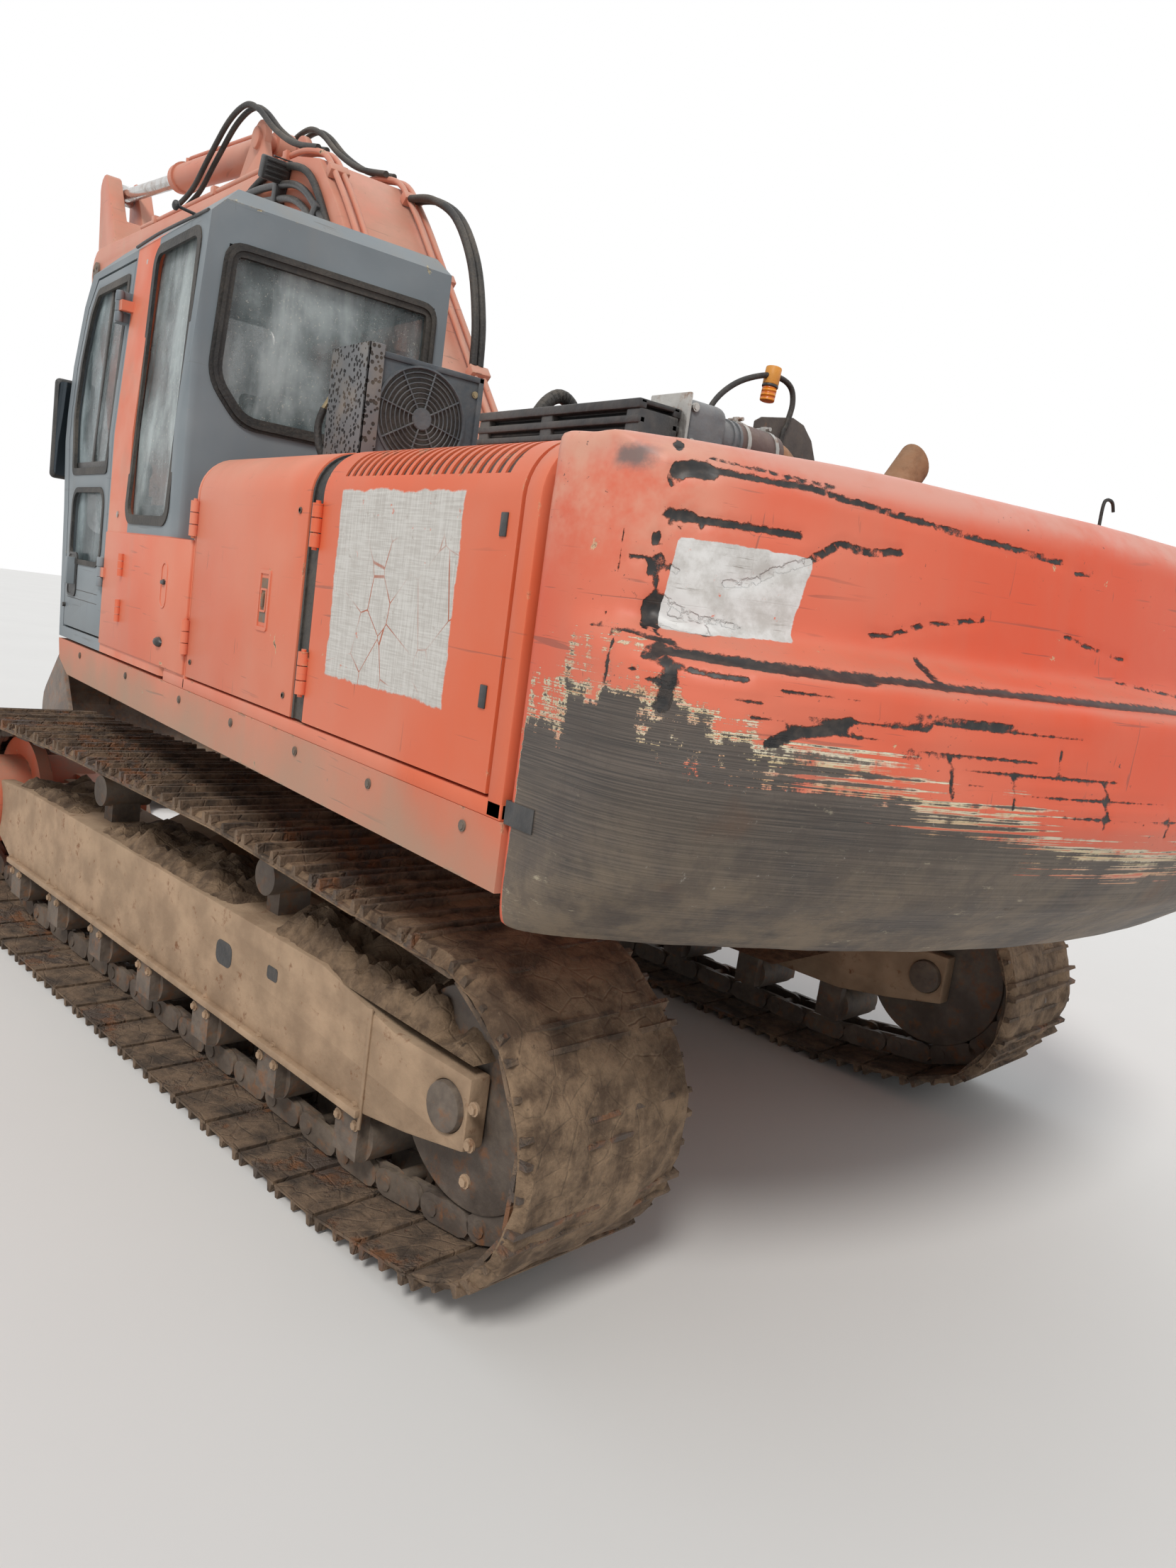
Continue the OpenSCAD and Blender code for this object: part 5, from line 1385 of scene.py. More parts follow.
def right_covers():
    """The right covers and the pump door with its vents."""
    shell, inner = bmesh.new(), -0.8
    lo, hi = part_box("right_housing")
    cover_run(shell, lo.x, REAR_DOOR[0] - 0.01, -inner, DECK_TOP, -1)
    cover_run(shell, REAR_DOOR[1] + 0.008, hi.x, -inner, DECK_TOP, -1)
    block(shell, (lo.x, -LIP + 0.008, COVER_TOP - 0.04), (hi.x, inner, COVER_TOP), 0.005)
    block(shell, (lo.x, inner - 0.04, DECK_TOP), (hi.x, inner, COVER_TOP - 0.02), 0.004)
    block(shell, (lo.x, -SIDE, DECK_TOP), (hi.x, -SIDE + 0.05, COVER_LOW - 0.008), 0.004)
    for x in (lo.x, hi.x - 0.02):
        block(shell, (x, -SIDE + 0.03, DECK_TOP), (x + 0.02, inner, 2.06))
    piece("right_housing_look", shell, BODY["right_housing"], "orange", node="right_housing")
    door, metal = meshes(2)
    cover_run(door, *REAR_DOOR, LIP, COVER_LOW, -1, soft=0.006)
    knuckles(door, PIN["pump_door_hinge"].x, -1)
    turn = Matrix.Diagonal((1, -1, 1, 1)) @ on_side(SIDE - 0.001)
    ringed(door, rounded(-2.332, 1.665, -2.248, 1.845, 0.012), 0.012, 0.005, turn)
    for k in range(9):
        z = 1.55 + 0.03 * k
        block(metal, (-1.95, -SIDE - 0.004, z), (-1.6, -SIDE + 0.002, z + 0.012), 0.003)
    block(metal, (-2.316, -SIDE - 0.003, 1.69), (-2.264, -SIDE + 0.002, 1.82), 0.0)
    piece("pump_door_look", door, "pump_door", "orange", node="pump_door")
    piece("pump_door_vents", metal, "pump_door", "dark")


def cab_side_panel(dark):
    """The panel below the cab's rear window, with its oval tray and stopper."""
    panel = bmesh.new()
    made = plate(panel, [(-0.474, 1.448), (0.598, 1.448), (0.598, 1.908), (-0.474, 1.908)], 0.012,
                 on_side(SIDE - 0.004))
    eased(panel, made, 0.004)
    oval = arc((-0.207, 1.79), 0.034, 0, 180, 8) + arc((-0.207, 1.69), 0.034, 180, 360, 8)
    ringed(panel, oval, 0.007, 0.004, on_side(SIDE + 0.007))
    for z in (1.56, 1.74):
        for low in (z, z + 0.03, z + 0.06):
            rod(panel, (0.33, SIDE + 0.014, low), (0.33, SIDE + 0.014, low + 0.027), 0.012, 12)
    piece("cab_side_panel", panel, BODY["left_housing"], "orange")
    rod(dark, (-0.207, SIDE + 0.006, 1.75), (-0.207, SIDE + 0.014, 1.75), 0.01, 12)
    block(dark, (-0.224, SIDE + 0.006, 1.742), (-0.19, SIDE + 0.018, 1.756), 0.003)
    ball(dark, (-0.202, SIDE + 0.008, 1.534), 0.034, (1.0, 0.6, 0.55))
    block(dark, (-2.6, SIDE - 0.012, 1.4), (-2.5, SIDE - 0.001, 1.45))
    piece("cover_fittings", dark, BODY["left_housing"], "dark", angle=38)


class CoverOperator(bpy.types.Operator):
    """Makes the round-shouldered covers with their air slots, latches, hinges and rubber gap."""

    bl_idname = "excavator.covers"
    bl_label = "Covers"

    def execute(self, context):
        dark = bmesh.new()
        left_covers(dark)
        left_doors()
        right_covers()
        cab_side_panel(dark)
        return {"FINISHED"}


# The open engine bay

BAY = BODY["condenser"]
BAY_X, LAMP_X = -2.28, -2.205


def clamp(bm, centre, radius, width=0.012):
    """A band clamp with its bolt, round a pipe along Y."""
    x, y, z = centre
    rod(bm, (x, y - width / 2, z), (x, y + width / 2, z), radius + 0.003, 24)
    rod(bm, (x - 0.02, y, z + radius + 0.008), (x + 0.03, y, z + radius + 0.008), 0.005, 8)
    block(bm, (x - 0.008, y - width / 2, z + radius), (x + 0.012, y + width / 2, z + radius + 0.014), 0.002)


def turns(count, start=0.0):
    """Angles spread evenly round a full turn."""
    return [math.tau * (k + start) / count for k in range(count)]


def across_x(x, *spots):
    """Points at one place along X, from their Y and Z."""
    return [(x, y, z) for y, z in spots]


def condenser():
    """The condenser with its round fan grille, its perforated plate and its hoses."""
    box, grille, side_plate, fitting, black = meshes(5)
    low, high = Vector((-0.85, 0.67, 2.2)), Vector((-0.73, 1.11, 2.6))
    block(box, low, high, 0.008)
    block(box, (low.x - 0.006, low.y, low.z), (low.x + 0.01, low.y + 0.02, high.z), 0.003)
    block(box, (low.x - 0.006, low.y, high.z - 0.02), (low.x + 0.01, high.y, high.z), 0.003)
    middle = Vector((low.x - 0.004, 0.9, 2.415))
    rod(black, middle + Vector((0.002, 0, 0)), middle + Vector((0.012, 0, 0)), 0.168, 40)
    for k in range(9):
        radius = 0.035 + 0.0165 * k
        ring = [middle + Vector((-0.006 + 0.006 * (k / 8) ** 2, radius * math.cos(a), radius * math.sin(a)))
                for a in turns(40)]
        hose(grille, ring, 0.0022 if k < 8 else 0.006, 5, closed=True, smooth=False)
    for a in turns(8, 0.3):
        spoke = Vector((0, math.cos(a), math.sin(a)))
        rod(grille, middle + spoke * 0.03 + Vector((-0.006, 0, 0)), middle + spoke * 0.165, 0.0032, 6)
    rod(grille, middle + Vector((-0.009, 0, 0)), middle + Vector((0.004, 0, 0)), 0.034, 24)
    for y, z in ((low.y + 0.03, low.z + 0.05), (low.y + 0.03, high.z - 0.06),
                 (high.y - 0.025, high.z - 0.07)):
        bolt(fitting, (low.x, y, z), (-1, 0, 0), 0.008, 0.006)
    block(side_plate, (-0.862, 1.11, 2.2), (-0.58, 1.118, 2.618), 0.002)
    block(side_plate, (-0.862, 1.06, 2.2), (-0.855, 1.118, 2.618), 0.002)
    block(box, (-0.73, 0.69, 2.2), (-0.6, 1.1, 2.235), 0.004)
    for k in range(2):
        y, z = 1.085 - 0.05 * k, 2.47 - 0.05 * k
        rod(fitting, (-0.585, y, z), (-0.535, y, z), 0.012, 12)
        rod(fitting, (-0.56, y, z), (-0.55, y, z), 0.018, 6)
        rod(fitting, (-0.535, y, z), (-0.52, y + 0.02, z - 0.05), 0.01, 10)
        hose(black, [(-0.522, y + 0.018, z - 0.045), (-0.515, y + 0.03, z - 0.11),
                     (-0.53, y + 0.02, z - 0.19),
                     (-0.56, y - 0.02, 2.205)], 0.013)
    hose(black, [(-0.55, 0.98, 2.205), (-0.53, 1.06, 2.235), (-0.5, 1.14, 2.225), (-0.5, 1.2, 2.203)],
         0.016)
    piece("condenser_box", box, BAY, "condenser", node="condenser")
    piece("condenser_grille", grille, BAY, "condenser", angle=38)
    piece("condenser_plate", side_plate, BAY, "perforated")
    piece("condenser_fittings", fitting, BAY, "brass")
    piece("condenser_hoses", black, BAY, "rubber", angle=38)


def coolers():
    """The coolers with their frame and the ring of the fan's shroud."""
    core, rails = meshes(2)
    low, high = (v.copy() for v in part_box("cooler"))
    for side in (low.y + 0.012, high.y - 0.014):
        block(core, (low.x + 0.05, side - 0.002, low.z + 0.03), (high.x - 0.05, side + 0.004, high.z - 0.04))
    block(core, (low.x + 0.02, low.y + 0.02, low.z), (high.x - 0.02, high.y - 0.02, high.z - 0.01))
    for x in (low.x, high.x - 0.05, (low.x + high.x) / 2):
        block(rails, (x, low.y, low.z), (x + 0.05, high.y, high.z - 0.02), 0.006)
    for z, tall in ((high.z - 0.022, 0.022), (high.z - 0.055, 0.018), (high.z - 0.085, 0.016),
                    (high.z - 0.125, 0.022), (low.z, 0.03), (1.85, 0.02)):
        block(rails, (low.x, high.y - 0.02, z), (high.x, high.y + 0.004, z + tall), 0.004)
        block(rails, (low.x, low.y - 0.004, z), (high.x, low.y + 0.02, z + tall), 0.004)
    block(rails, (low.x, low.y, high.z - 0.012), (high.x, high.y, high.z), 0.004)
    ring = [Vector((-1.95, low.y - 0.045, 1.85)) + Vector((0.29 * math.cos(a), 0, 0.29 * math.sin(a)))
            for a in turns(36)]
    hose(rails, ring, 0.012, 8, closed=True, smooth=False)
    piece("cooler_core", core, BAY, "fins", node="cooler")
    piece("cooler_frame", rails, BAY, "dark")


def charge_pipe():
    """The charge cooler's end tank, the hose on it with its clamps, and the pipe to the engine."""
    cast, bright, brown, rusty = meshes(4)
    block(cast, (-2.345, 0.88, 2.05), (-2.215, 1.02, 2.372), 0.032, segments=5)
    block(bright, (-2.352, 1.016, 2.05), (-2.21, 1.026, 2.38), 0.004)
    for z in (2.09, 2.18, 2.27, 2.35):
        bolt(bright, (-2.345, 1.0, z), (-1, 0, 0), 0.007, 0.006)
    z = 2.305
    rod(cast, (BAY_X, 0.9, z), (BAY_X, 0.8, z), 0.05, 28)
    for y in (0.845, 0.825):
        rod(cast, (BAY_X, y - 0.004, z), (BAY_X, y + 0.004, z), 0.055, 28)
    hose(brown, across_x(BAY_X, (0.825, z), (0.78, z), (0.72, z - 0.002), (0.675, z - 0.006)), 0.0545, 26)
    clamp(bright, (BAY_X, 0.8, z), 0.0545)
    clamp(bright, (BAY_X, 0.7, z - 0.004), 0.0545)
    hose(rusty, across_x(BAY_X, (0.7, z - 0.004), (0.645, z - 0.012), (0.6, z - 0.05), (0.585, z - 0.11),
                         (0.583, 2.0), (0.583, 1.8)), 0.045, 22)
    piece("charge_cooler_tank", cast, BAY, "grey_pipe", angle=38, node="charge_pipe")
    piece("tank_edge", bright, BAY, "zinc")
    piece("charge_hose", brown, BAY, "brown_hose", angle=50)
    piece("turbo_pipe", rusty, BAY, "rust", angle=50)


def hanging_lamp():
    """The bracket with its hose loop, and the amber lamp that hangs in it."""
    sheet, bolts, black = meshes(3)
    line = [(0.665, 1.92), (0.662, 2.398), (0.64, 2.412), (0.524, 2.434), (0.48, 2.424), (0.44, 2.39),
            (0.408, 2.33), (0.385, 2.24), (0.38, 1.92)]
    eased(sheet, plate(sheet, line, 0.008, on_front(LAMP_X)), 0.0025)
    block(sheet, (-2.23, 0.37, 1.9), (-2.16, 0.68, 1.925), 0.004)
    for y, z in ((0.605, 2.36), (0.47, 2.3)):
        bolt(bolts, (LAMP_X, y, z), (-1, 0, 0), 0.01, 0.008)
    hose(black, across_x(LAMP_X, (0.84, 2.2), (0.842, 2.33), (0.819, 2.408), (0.752, 2.471), (0.662, 2.511),
                         (0.597, 2.519), (0.552, 2.504), (0.537, 2.465), (0.548, 2.41), (0.56, 2.36),
                         (0.56, 2.1)), 0.0075, 12)
    piece("lamp_bracket", sheet, BAY, "plate_rust", node="beacon_rail")
    piece("lamp_hose", black, BAY, "rubber", angle=50)
    piece("bracket_bolts", bolts, BAY, "zinc")
    tilt = Vector((0, -0.1, 1)).normalized()
    foot = Vector((LAMP_X, 0.634, 2.452))
    for name, start, end, radius, paint, edge in (
            ("lamp_dome", 0.0, 0.036, 0.0195, "amber", 0.0035),
            ("lamp_band", 0.036, 0.042, 0.0215, "dark", 0.001),
            ("lamp_base", 0.042, 0.088, 0.021, "lamp_base", 0.0035)):
        bm = bmesh.new()
        eased(bm, rod(bm, foot + tilt * start, foot + tilt * end, radius, 28), edge, 60)
        piece(name, bm, BAY, paint, 38)


def muffler():
    """The muffler with its slanting tail pipe, its mouth cut aslant and hollow."""
    pipe = bmesh.new()
    rod(pipe, (-2.23, 0.36, 2.06), (-2.23, -0.34, 2.06), 0.098, 32)
    for y in (0.3, -0.28, 0.0):
        rod(pipe, (-2.23, y, 2.06), (-2.23, y + 0.02, 2.06), 0.103, 32)
    rod(pipe, (-2.25, 0.27, 2.1), (-2.25, 0.02, 2.44), 0.052, 28)
    mouth = bmesh.ops.bisect_plane(pipe, geom=pipe.verts[:] + pipe.edges[:] + pipe.faces[:], dist=1e-5,
                                   plane_co=(-2.25, 0.055, 2.42), plane_no=(0, -1, 0.55), clear_outer=True)
    cut = [e for e in mouth["geom_cut"] if isinstance(e, bmesh.types.BMEdge)]
    lid = bmesh.ops.edgeloop_fill(pipe, edges=cut)["faces"]
    bmesh.ops.inset_region(pipe, faces=lid, thickness=0.004)
    down = bmesh.ops.extrude_face_region(pipe, geom=lid)["geom"]
    bmesh.ops.delete(pipe, geom=lid, context="FACES_ONLY")
    inner = [v for v in down if isinstance(v, bmesh.types.BMVert)]
    bmesh.ops.translate(pipe, vec=(0, 0.06, -0.085), verts=inner)
    piece("exhaust_look", pipe, BAY, "rust", angle=38, node="exhaust_pipe")


def engine_parts():
    """The engine under the pipes: its blocks, feet, pulleys, fan, filters and pump."""
    engine, parts = meshes(2)
    block(engine, (-2.09, -0.42, 1.5), (-1.68, 0.62, 1.93), 0.02)
    block(engine, (-2.03, -0.38, 1.93), (-1.74, 0.58, 2.0), 0.015)
    block(engine, (-1.99, -0.34, 2.0), (-1.78, 0.54, 2.075), 0.03, segments=4)
    for k in range(6):
        y = -0.26 + 0.15 * k
        block(engine, (-2.01, y - 0.02, 1.99), (-1.76, y + 0.02, 2.062), 0.01)
        bolt(parts, (-1.885, y + 0.075, 2.073), (0, 0, 1), 0.01, 0.014)
        hose(parts, [(-2.05, y, 1.9), (-2.12, y, 1.91), (-2.16, y * 0.9, 1.93)], 0.024, 10)
        hose(parts, [(-1.72, y, 1.95), (-1.66, y, 1.99), (-1.63, y - 0.03, 1.93), (-1.63, -0.1, 1.8)],
             0.006, 8)
    hose(parts, [(-2.16, -0.28, 1.93), (-2.165, 0.1, 1.935), (-2.16, 0.5, 1.93)], 0.034, 14)
    ball(parts, (-2.21, 0.4, 1.86), 0.09, (0.75, 1.0, 1.0), 20)
    rod(parts, (-2.21, 0.52, 1.86), (-2.21, 0.3, 1.86), 0.055, 20)
    for y, r in ((0.12, 0.052), (0.26, 0.052)):
        rod(parts, (-1.6, y, 1.52), (-1.6, y, 1.75), r, 20)
    for x, z, r in ((-1.88, 1.7, 0.11), (-1.75, 1.88, 0.055), (-2.02, 1.6, 0.07)):
        rod(parts, (x, 0.62, z), (x, 0.72, z), r, 24)
    rod(parts, (-1.95, 0.72, 1.85), (-1.95, 0.86, 1.85), 0.05, 20)
    for a in turns(8):
        made = block(parts, (0.05, -0.003, -0.04), (0.27, 0.003, 0.04))
        pitched = Matrix.Rotation(a, 4, "Y") @ Matrix.Rotation(0.5, 4, "X")
        placed(parts, made, Matrix.Translation((-1.95, 0.88, 1.85)) @ pitched)
    for x, y in ((-2.05, -0.36), (-2.05, 0.5), (-1.72, -0.36), (-1.72, 0.5)):
        block(engine, (x - 0.05, y - 0.06, DECK_TOP), (x + 0.05, y + 0.06, 1.55), 0.012)
    rod(parts, (-1.88, -0.42, 1.72), (-1.88, -0.62, 1.72), 0.17, 30)
    for y in (-0.62, -0.68):
        rod(parts, (-1.88, y, 1.74), (-1.88, y - 0.1, 1.74), 0.11, 24)
    hose(parts, [(-1.85, 0.6, 2.03), (-1.78, 0.76, 2.06), (-1.76, 0.92, 2.12), (-1.76, 1.03, 2.16)], 0.03,
         14)
    hose(parts, [(-1.62, -0.3, 1.95), (-1.58, 0.1, 2.02), (-1.6, 0.5, 1.98), (-1.62, 0.8, 1.9)], 0.02,
         12)
    piece("engine_look", engine, BAY, "engine", angle=38, node="engine_block")
    piece("engine_parts", parts, BAY, "engine", angle=38)


def bay_lines():
    """The corrugated hose, the hooked rod, the hose bundle behind the condenser, and the bay's walls."""
    black, walls = meshes(2)
    loop = smooth_path(across_x(-1.7, (1.0, 2.1), (1.015, 2.3), (0.985, 2.39), (0.93, 2.43),
                                (0.875, 2.395), (0.845, 2.3), (0.84, 2.05)), 5)
    hose(black, loop, 0.016, 12, smooth=False)
    for a, b in zip(loop, loop[1:]):
        for k in range(3):
            here = a.lerp(b, (k + 0.5) / 3)
            rod(black, here - (b - a).normalized() * 0.0035, here + (b - a).normalized() * 0.0035, 0.0195, 12)
    hose(black, across_x(-2.3, (-0.95, 2.19), (-0.945, 2.36), (-0.945, 2.45), (-0.965, 2.472), (-1.0, 2.468),
                         (-1.018, 2.44)), 0.006, 8)
    for k in range(5):
        hose(black, [(-1.45, -0.55 + 0.09 * k, 1.62), (-1.1, -0.5 + 0.1 * k, 1.86 + 0.02 * (k % 2)),
                     (-0.7, -0.42 + 0.09 * k, 1.8), (-0.35, -0.36 + 0.08 * k, 1.62),
                     (0.0, -0.3 + 0.07 * k, 1.5)], 0.019, 10)
    piece("bay_hoses", black, BAY, "rubber", angle=60)
    block(walls, (-1.53, -0.72, DECK_TOP), (-1.51, 0.64, 2.02), 0.003)
    block(walls, (-1.46, -0.46, DECK_TOP), (-1.02, 0.3, 1.58), 0.02)
    for k in range(6):
        x = -1.4 + 0.07 * k
        rod(walls, (x, -0.2, 1.58), (x, -0.2, 1.66), 0.022, 14)
        rod(walls, (x, 0.06, 1.58), (x, 0.06, 1.64), 0.022, 14)
    piece("bay_walls", walls, BAY, "dark", angle=38)


class BayOperator(bpy.types.Operator):
    """Fills the open engine bay: condenser, coolers, pipes, lamp, exhaust, engine, hoses and walls."""

    bl_idname = "excavator.bay"
    bl_label = "Engine bay"

    def execute(self, context):
        for make in (condenser, coolers, charge_pipe, hanging_lamp, muffler, engine_parts, bay_lines):
            make()
        return {"FINISHED"}


# The cab

CAB = BODY["cab_shell"]
SEAT_MIDDLE = (CAB_LOW.y + SIDE) / 2
# Height from which the cab's side leans in, and by how much for each metre
LEAN_FROM, LEAN = 2.3, 0.0616


def round_corners(points, radius, count=5, closed=True):
    """An outline, or an open line, with its corners rounded."""
    line = []
    for i, p in enumerate(points):
        if not closed and i in (0, len(points) - 1):
            line.append(tuple(p))
            continue
        here, before, after = Vector(p), Vector(points[i - 1]), Vector(points[(i + 1) % len(points)])
        start = here + (before - here).normalized() * radius
        end = here + (after - here).normalized() * radius
        for k in range(count + 1):
            t = k / count
            line.append(tuple(start * (1 - t) ** 2 + here * (2 * t * (1 - t)) + end * t * t))
    return line


def leaned(made):
    """Leans what lies on the cab's side inwards, as the cab's side does."""
    for v in made:
        v.co.y -= max(0.0, v.co.z - LEAN_FROM) * LEAN


def cushion(name, low, high, turn, channels, crown=0.022):
    """A crowned cushion with sewn channels, its sides pulled in between its corners."""
    low, high = Vector(low), Vector(high)
    size, middle = high - low, (low + high) / 2
    bm = bmesh.new()
    bmesh.ops.create_cube(bm, size=2.0)
    bmesh.ops.subdivide_edges(bm, edges=bm.edges[:], cuts=15, use_grid_fill=True)
    for v in bm.verts:
        x, y, z = v.co
        bulge = (1 - x * x) * (1 - y * y)
        pinch = 1 - 0.05 * (1 - z * z) - 0.02 * ((1 - x * x) if abs(y) > 0.99 else (1 - y * y))
        round_x = x * math.sqrt(max(0, 1 - 0.12 * y * y - 0.1 * z * z))
        round_y = y * math.sqrt(max(0, 1 - 0.12 * x * x - 0.1 * z * z))
        top = z * (1 - 0.16 * (x ** 4 + y ** 4) / 2)
        seam = sum(math.exp(-((x - c) / 0.05) ** 2) for c in channels) * (0.006 if z > 0.9 else 0.0)
        v.co = Vector((round_x * size.x / 2 * pinch, round_y * size.y / 2 * pinch,
                       top * size.z / 2 + (crown * bulge - seam if z > 0 else 0)))
    place = Matrix.Translation(middle) @ turn if turn else Matrix.Translation(middle)
    bmesh.ops.transform(bm, matrix=place, verts=bm.verts)
    made = piece(name, bm, CAB, "cloth", angle=60)
    smooth = made.modifiers.new("smooth", "SUBSURF")
    smooth.levels = smooth.render_levels = 1


def cab_shell():
    """The cab's shell, with a round rear corner and roof edges."""
    bm = node_copy("cab_shell")
    corner = [e for e in bm.edges if e.is_manifold and all(
        abs(v.co.x - CAB_LOW.x) < 1e-3 and abs(v.co.y - SIDE) < 1e-3 for v in e.verts)]
    bevelled(bm, corner, 0.055, 6)
    roof = [e for e in bm.edges if e.is_manifold and all(v.co.z > 2.99 for v in e.verts)
            and math.radians(18) < e.calc_face_angle(0) < math.radians(80)]
    bevelled(bm, roof, 0.045, 5)
    piece("cab_shell_look", bm, CAB, "cab", angle=38, node="cab_shell", outward=False)


def cab_fittings():
    """The seals of the fixed windows, the gutter, the knob, the wiper and the bolts."""
    rubber, dark, steel = meshes(3)
    rear_face = Matrix.Translation((CAB_LOW.x + 0.012, 0, 0)) @ Matrix.Diagonal((-1, 1, 1, 1)) @ YZ
    rear = round_corners([(0.548, 2.328), (1.296, 2.328), (1.424, 2.478), (1.392, 2.952), (0.548, 2.952)],
                         0.07)
    ringed(rubber, rear, 0.046, 0.02, rear_face)
    rear = round_corners([(0.558, 2.338), (1.29, 2.338), (1.412, 2.482), (1.382, 2.942), (0.558, 2.942)],
                         0.07)
    ringed(rubber, rear, 0.014, 0.028, rear_face)
    side = rounded(-0.174, 1.946, 0.364, 3.0, 0.075)
    leaned(ringed(rubber, side, 0.036, 0.012, on_side(SIDE - 0.007)))
    right_face = Matrix.Translation((0, CAB_LOW.y + 0.007, 0)) @ Matrix.Diagonal((1, -1, 1, 1)) @ XZ
    ringed(rubber, rounded(-0.132, 1.948, 1.192, 2.972, 0.09), 0.03, 0.012, right_face)
    hose(dark, [(-0.2, SIDE - 0.045, 3.035), (0.3, SIDE - 0.04, 3.045), (0.62, SIDE - 0.04, 3.04)],
         0.006, 8)
    rod(dark, (-0.05, SIDE - 0.06, 3.045), (-0.05, SIDE + 0.015, 3.055), 0.006, 10)
    ball(dark, (-0.05, SIDE + 0.022, 3.056), 0.018, (1, 0.7, 1))
    hose(dark, [(1.405, 0.62, 2.02), (1.452, 0.7, 2.1), (1.462, 0.84, 2.42), (1.462, 0.9, 2.6)], 0.007, 8)
    rod(dark, (1.46, 0.9, 2.28), (1.46, 0.905, 2.88), 0.008, 8)
    for y in (0.62, 1.34):
        hose(steel, [(1.33, y, 1.93), (1.4, y, 2.02), (1.42, y, 2.1)], 0.006, 8)
    for z in (1.98, 2.96):
        bolt(steel, (0.47, SIDE - 0.045 * (z > 2.3), z), (0, 1, 0), 0.008, 0.005)
    piece("window_seals", rubber, CAB, "rubber", angle=50)
    piece("cab_fittings", dark, CAB, "plastic", angle=38)
    piece("cab_bolts", steel, CAB, "zinc", angle=38)


def cab_mirror():
    """The mirror on its bar."""
    mirror, face = meshes(2)
    low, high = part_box("side_mirror")
    block(mirror, (1.492, low.y, low.z), (high.x, high.y, 2.585), 0.022, segments=5)
    rod(mirror, (1.512, SIDE - 0.05, 2.57), (1.512, SIDE - 0.05, high.z - 0.004), 0.012, 14)
    rod(mirror, (low.x + 0.003, SIDE - 0.05, 2.62), (1.524, SIDE - 0.05, 2.62), 0.012, 14)
    glass = rounded(low.y + 0.012, low.z + 0.015, high.y - 0.012, 2.57, 0.02)
    plate(face, glass, 0.003, on_front(1.4885))
    piece("mirror_face", face, CAB, "mirror", angle=38)
    piece("side_mirror_look", mirror, CAB, "plastic", angle=38, node="side_mirror")


def door_fittings():
    """The door's seals, its sliding frames and its handle."""
    rubber, dark = meshes(2)
    upper = round_corners([(0.672, 2.142), (1.236, 2.142), (1.308, 2.42), (1.308, 2.645), (1.246, 2.858),
                           (1.164, 2.95), (0.672, 2.95)], 0.035)
    leaned(ringed(rubber, upper, 0.03, 0.014, on_side(SIDE - 0.01)))
    ringed(rubber, rounded(0.682, 1.752, 1.208, 2.088, 0.08), 0.022, 0.012, on_side(SIDE - 0.008))
    for x0, x1, z0, z1 in ((0.965, 0.995, 2.15, 2.94), (0.69, 1.26, 2.165, 2.2),
                           (0.75, 0.775, 2.17, 2.93)):
        leaned(block(dark, (x0, SIDE - 0.034, z0), (x1, SIDE - 0.012, z1), 0.003))
    plate(dark, rounded(1.055, 1.615, 1.185, 1.795, 0.025), 0.0035, on_side(SIDE - 0.001))
    ringed(dark, rounded(1.047, 1.607, 1.193, 1.803, 0.03), 0.01, 0.007, on_side(SIDE - 0.001))
    for z in (1.6, 1.64):
        hose(dark, [(0.7, SIDE - 0.001, z), (1.2, SIDE - 0.001, z)], 0.002, 6, smooth=False)
    rod(dark, (1.225, SIDE, 1.56), (1.225, SIDE + 0.012, 1.56), 0.01, 12)
    piece("door_seals", rubber, "cab_door", "rubber", angle=50)
    piece("door_fittings", dark, "cab_door", "plastic", angle=38)


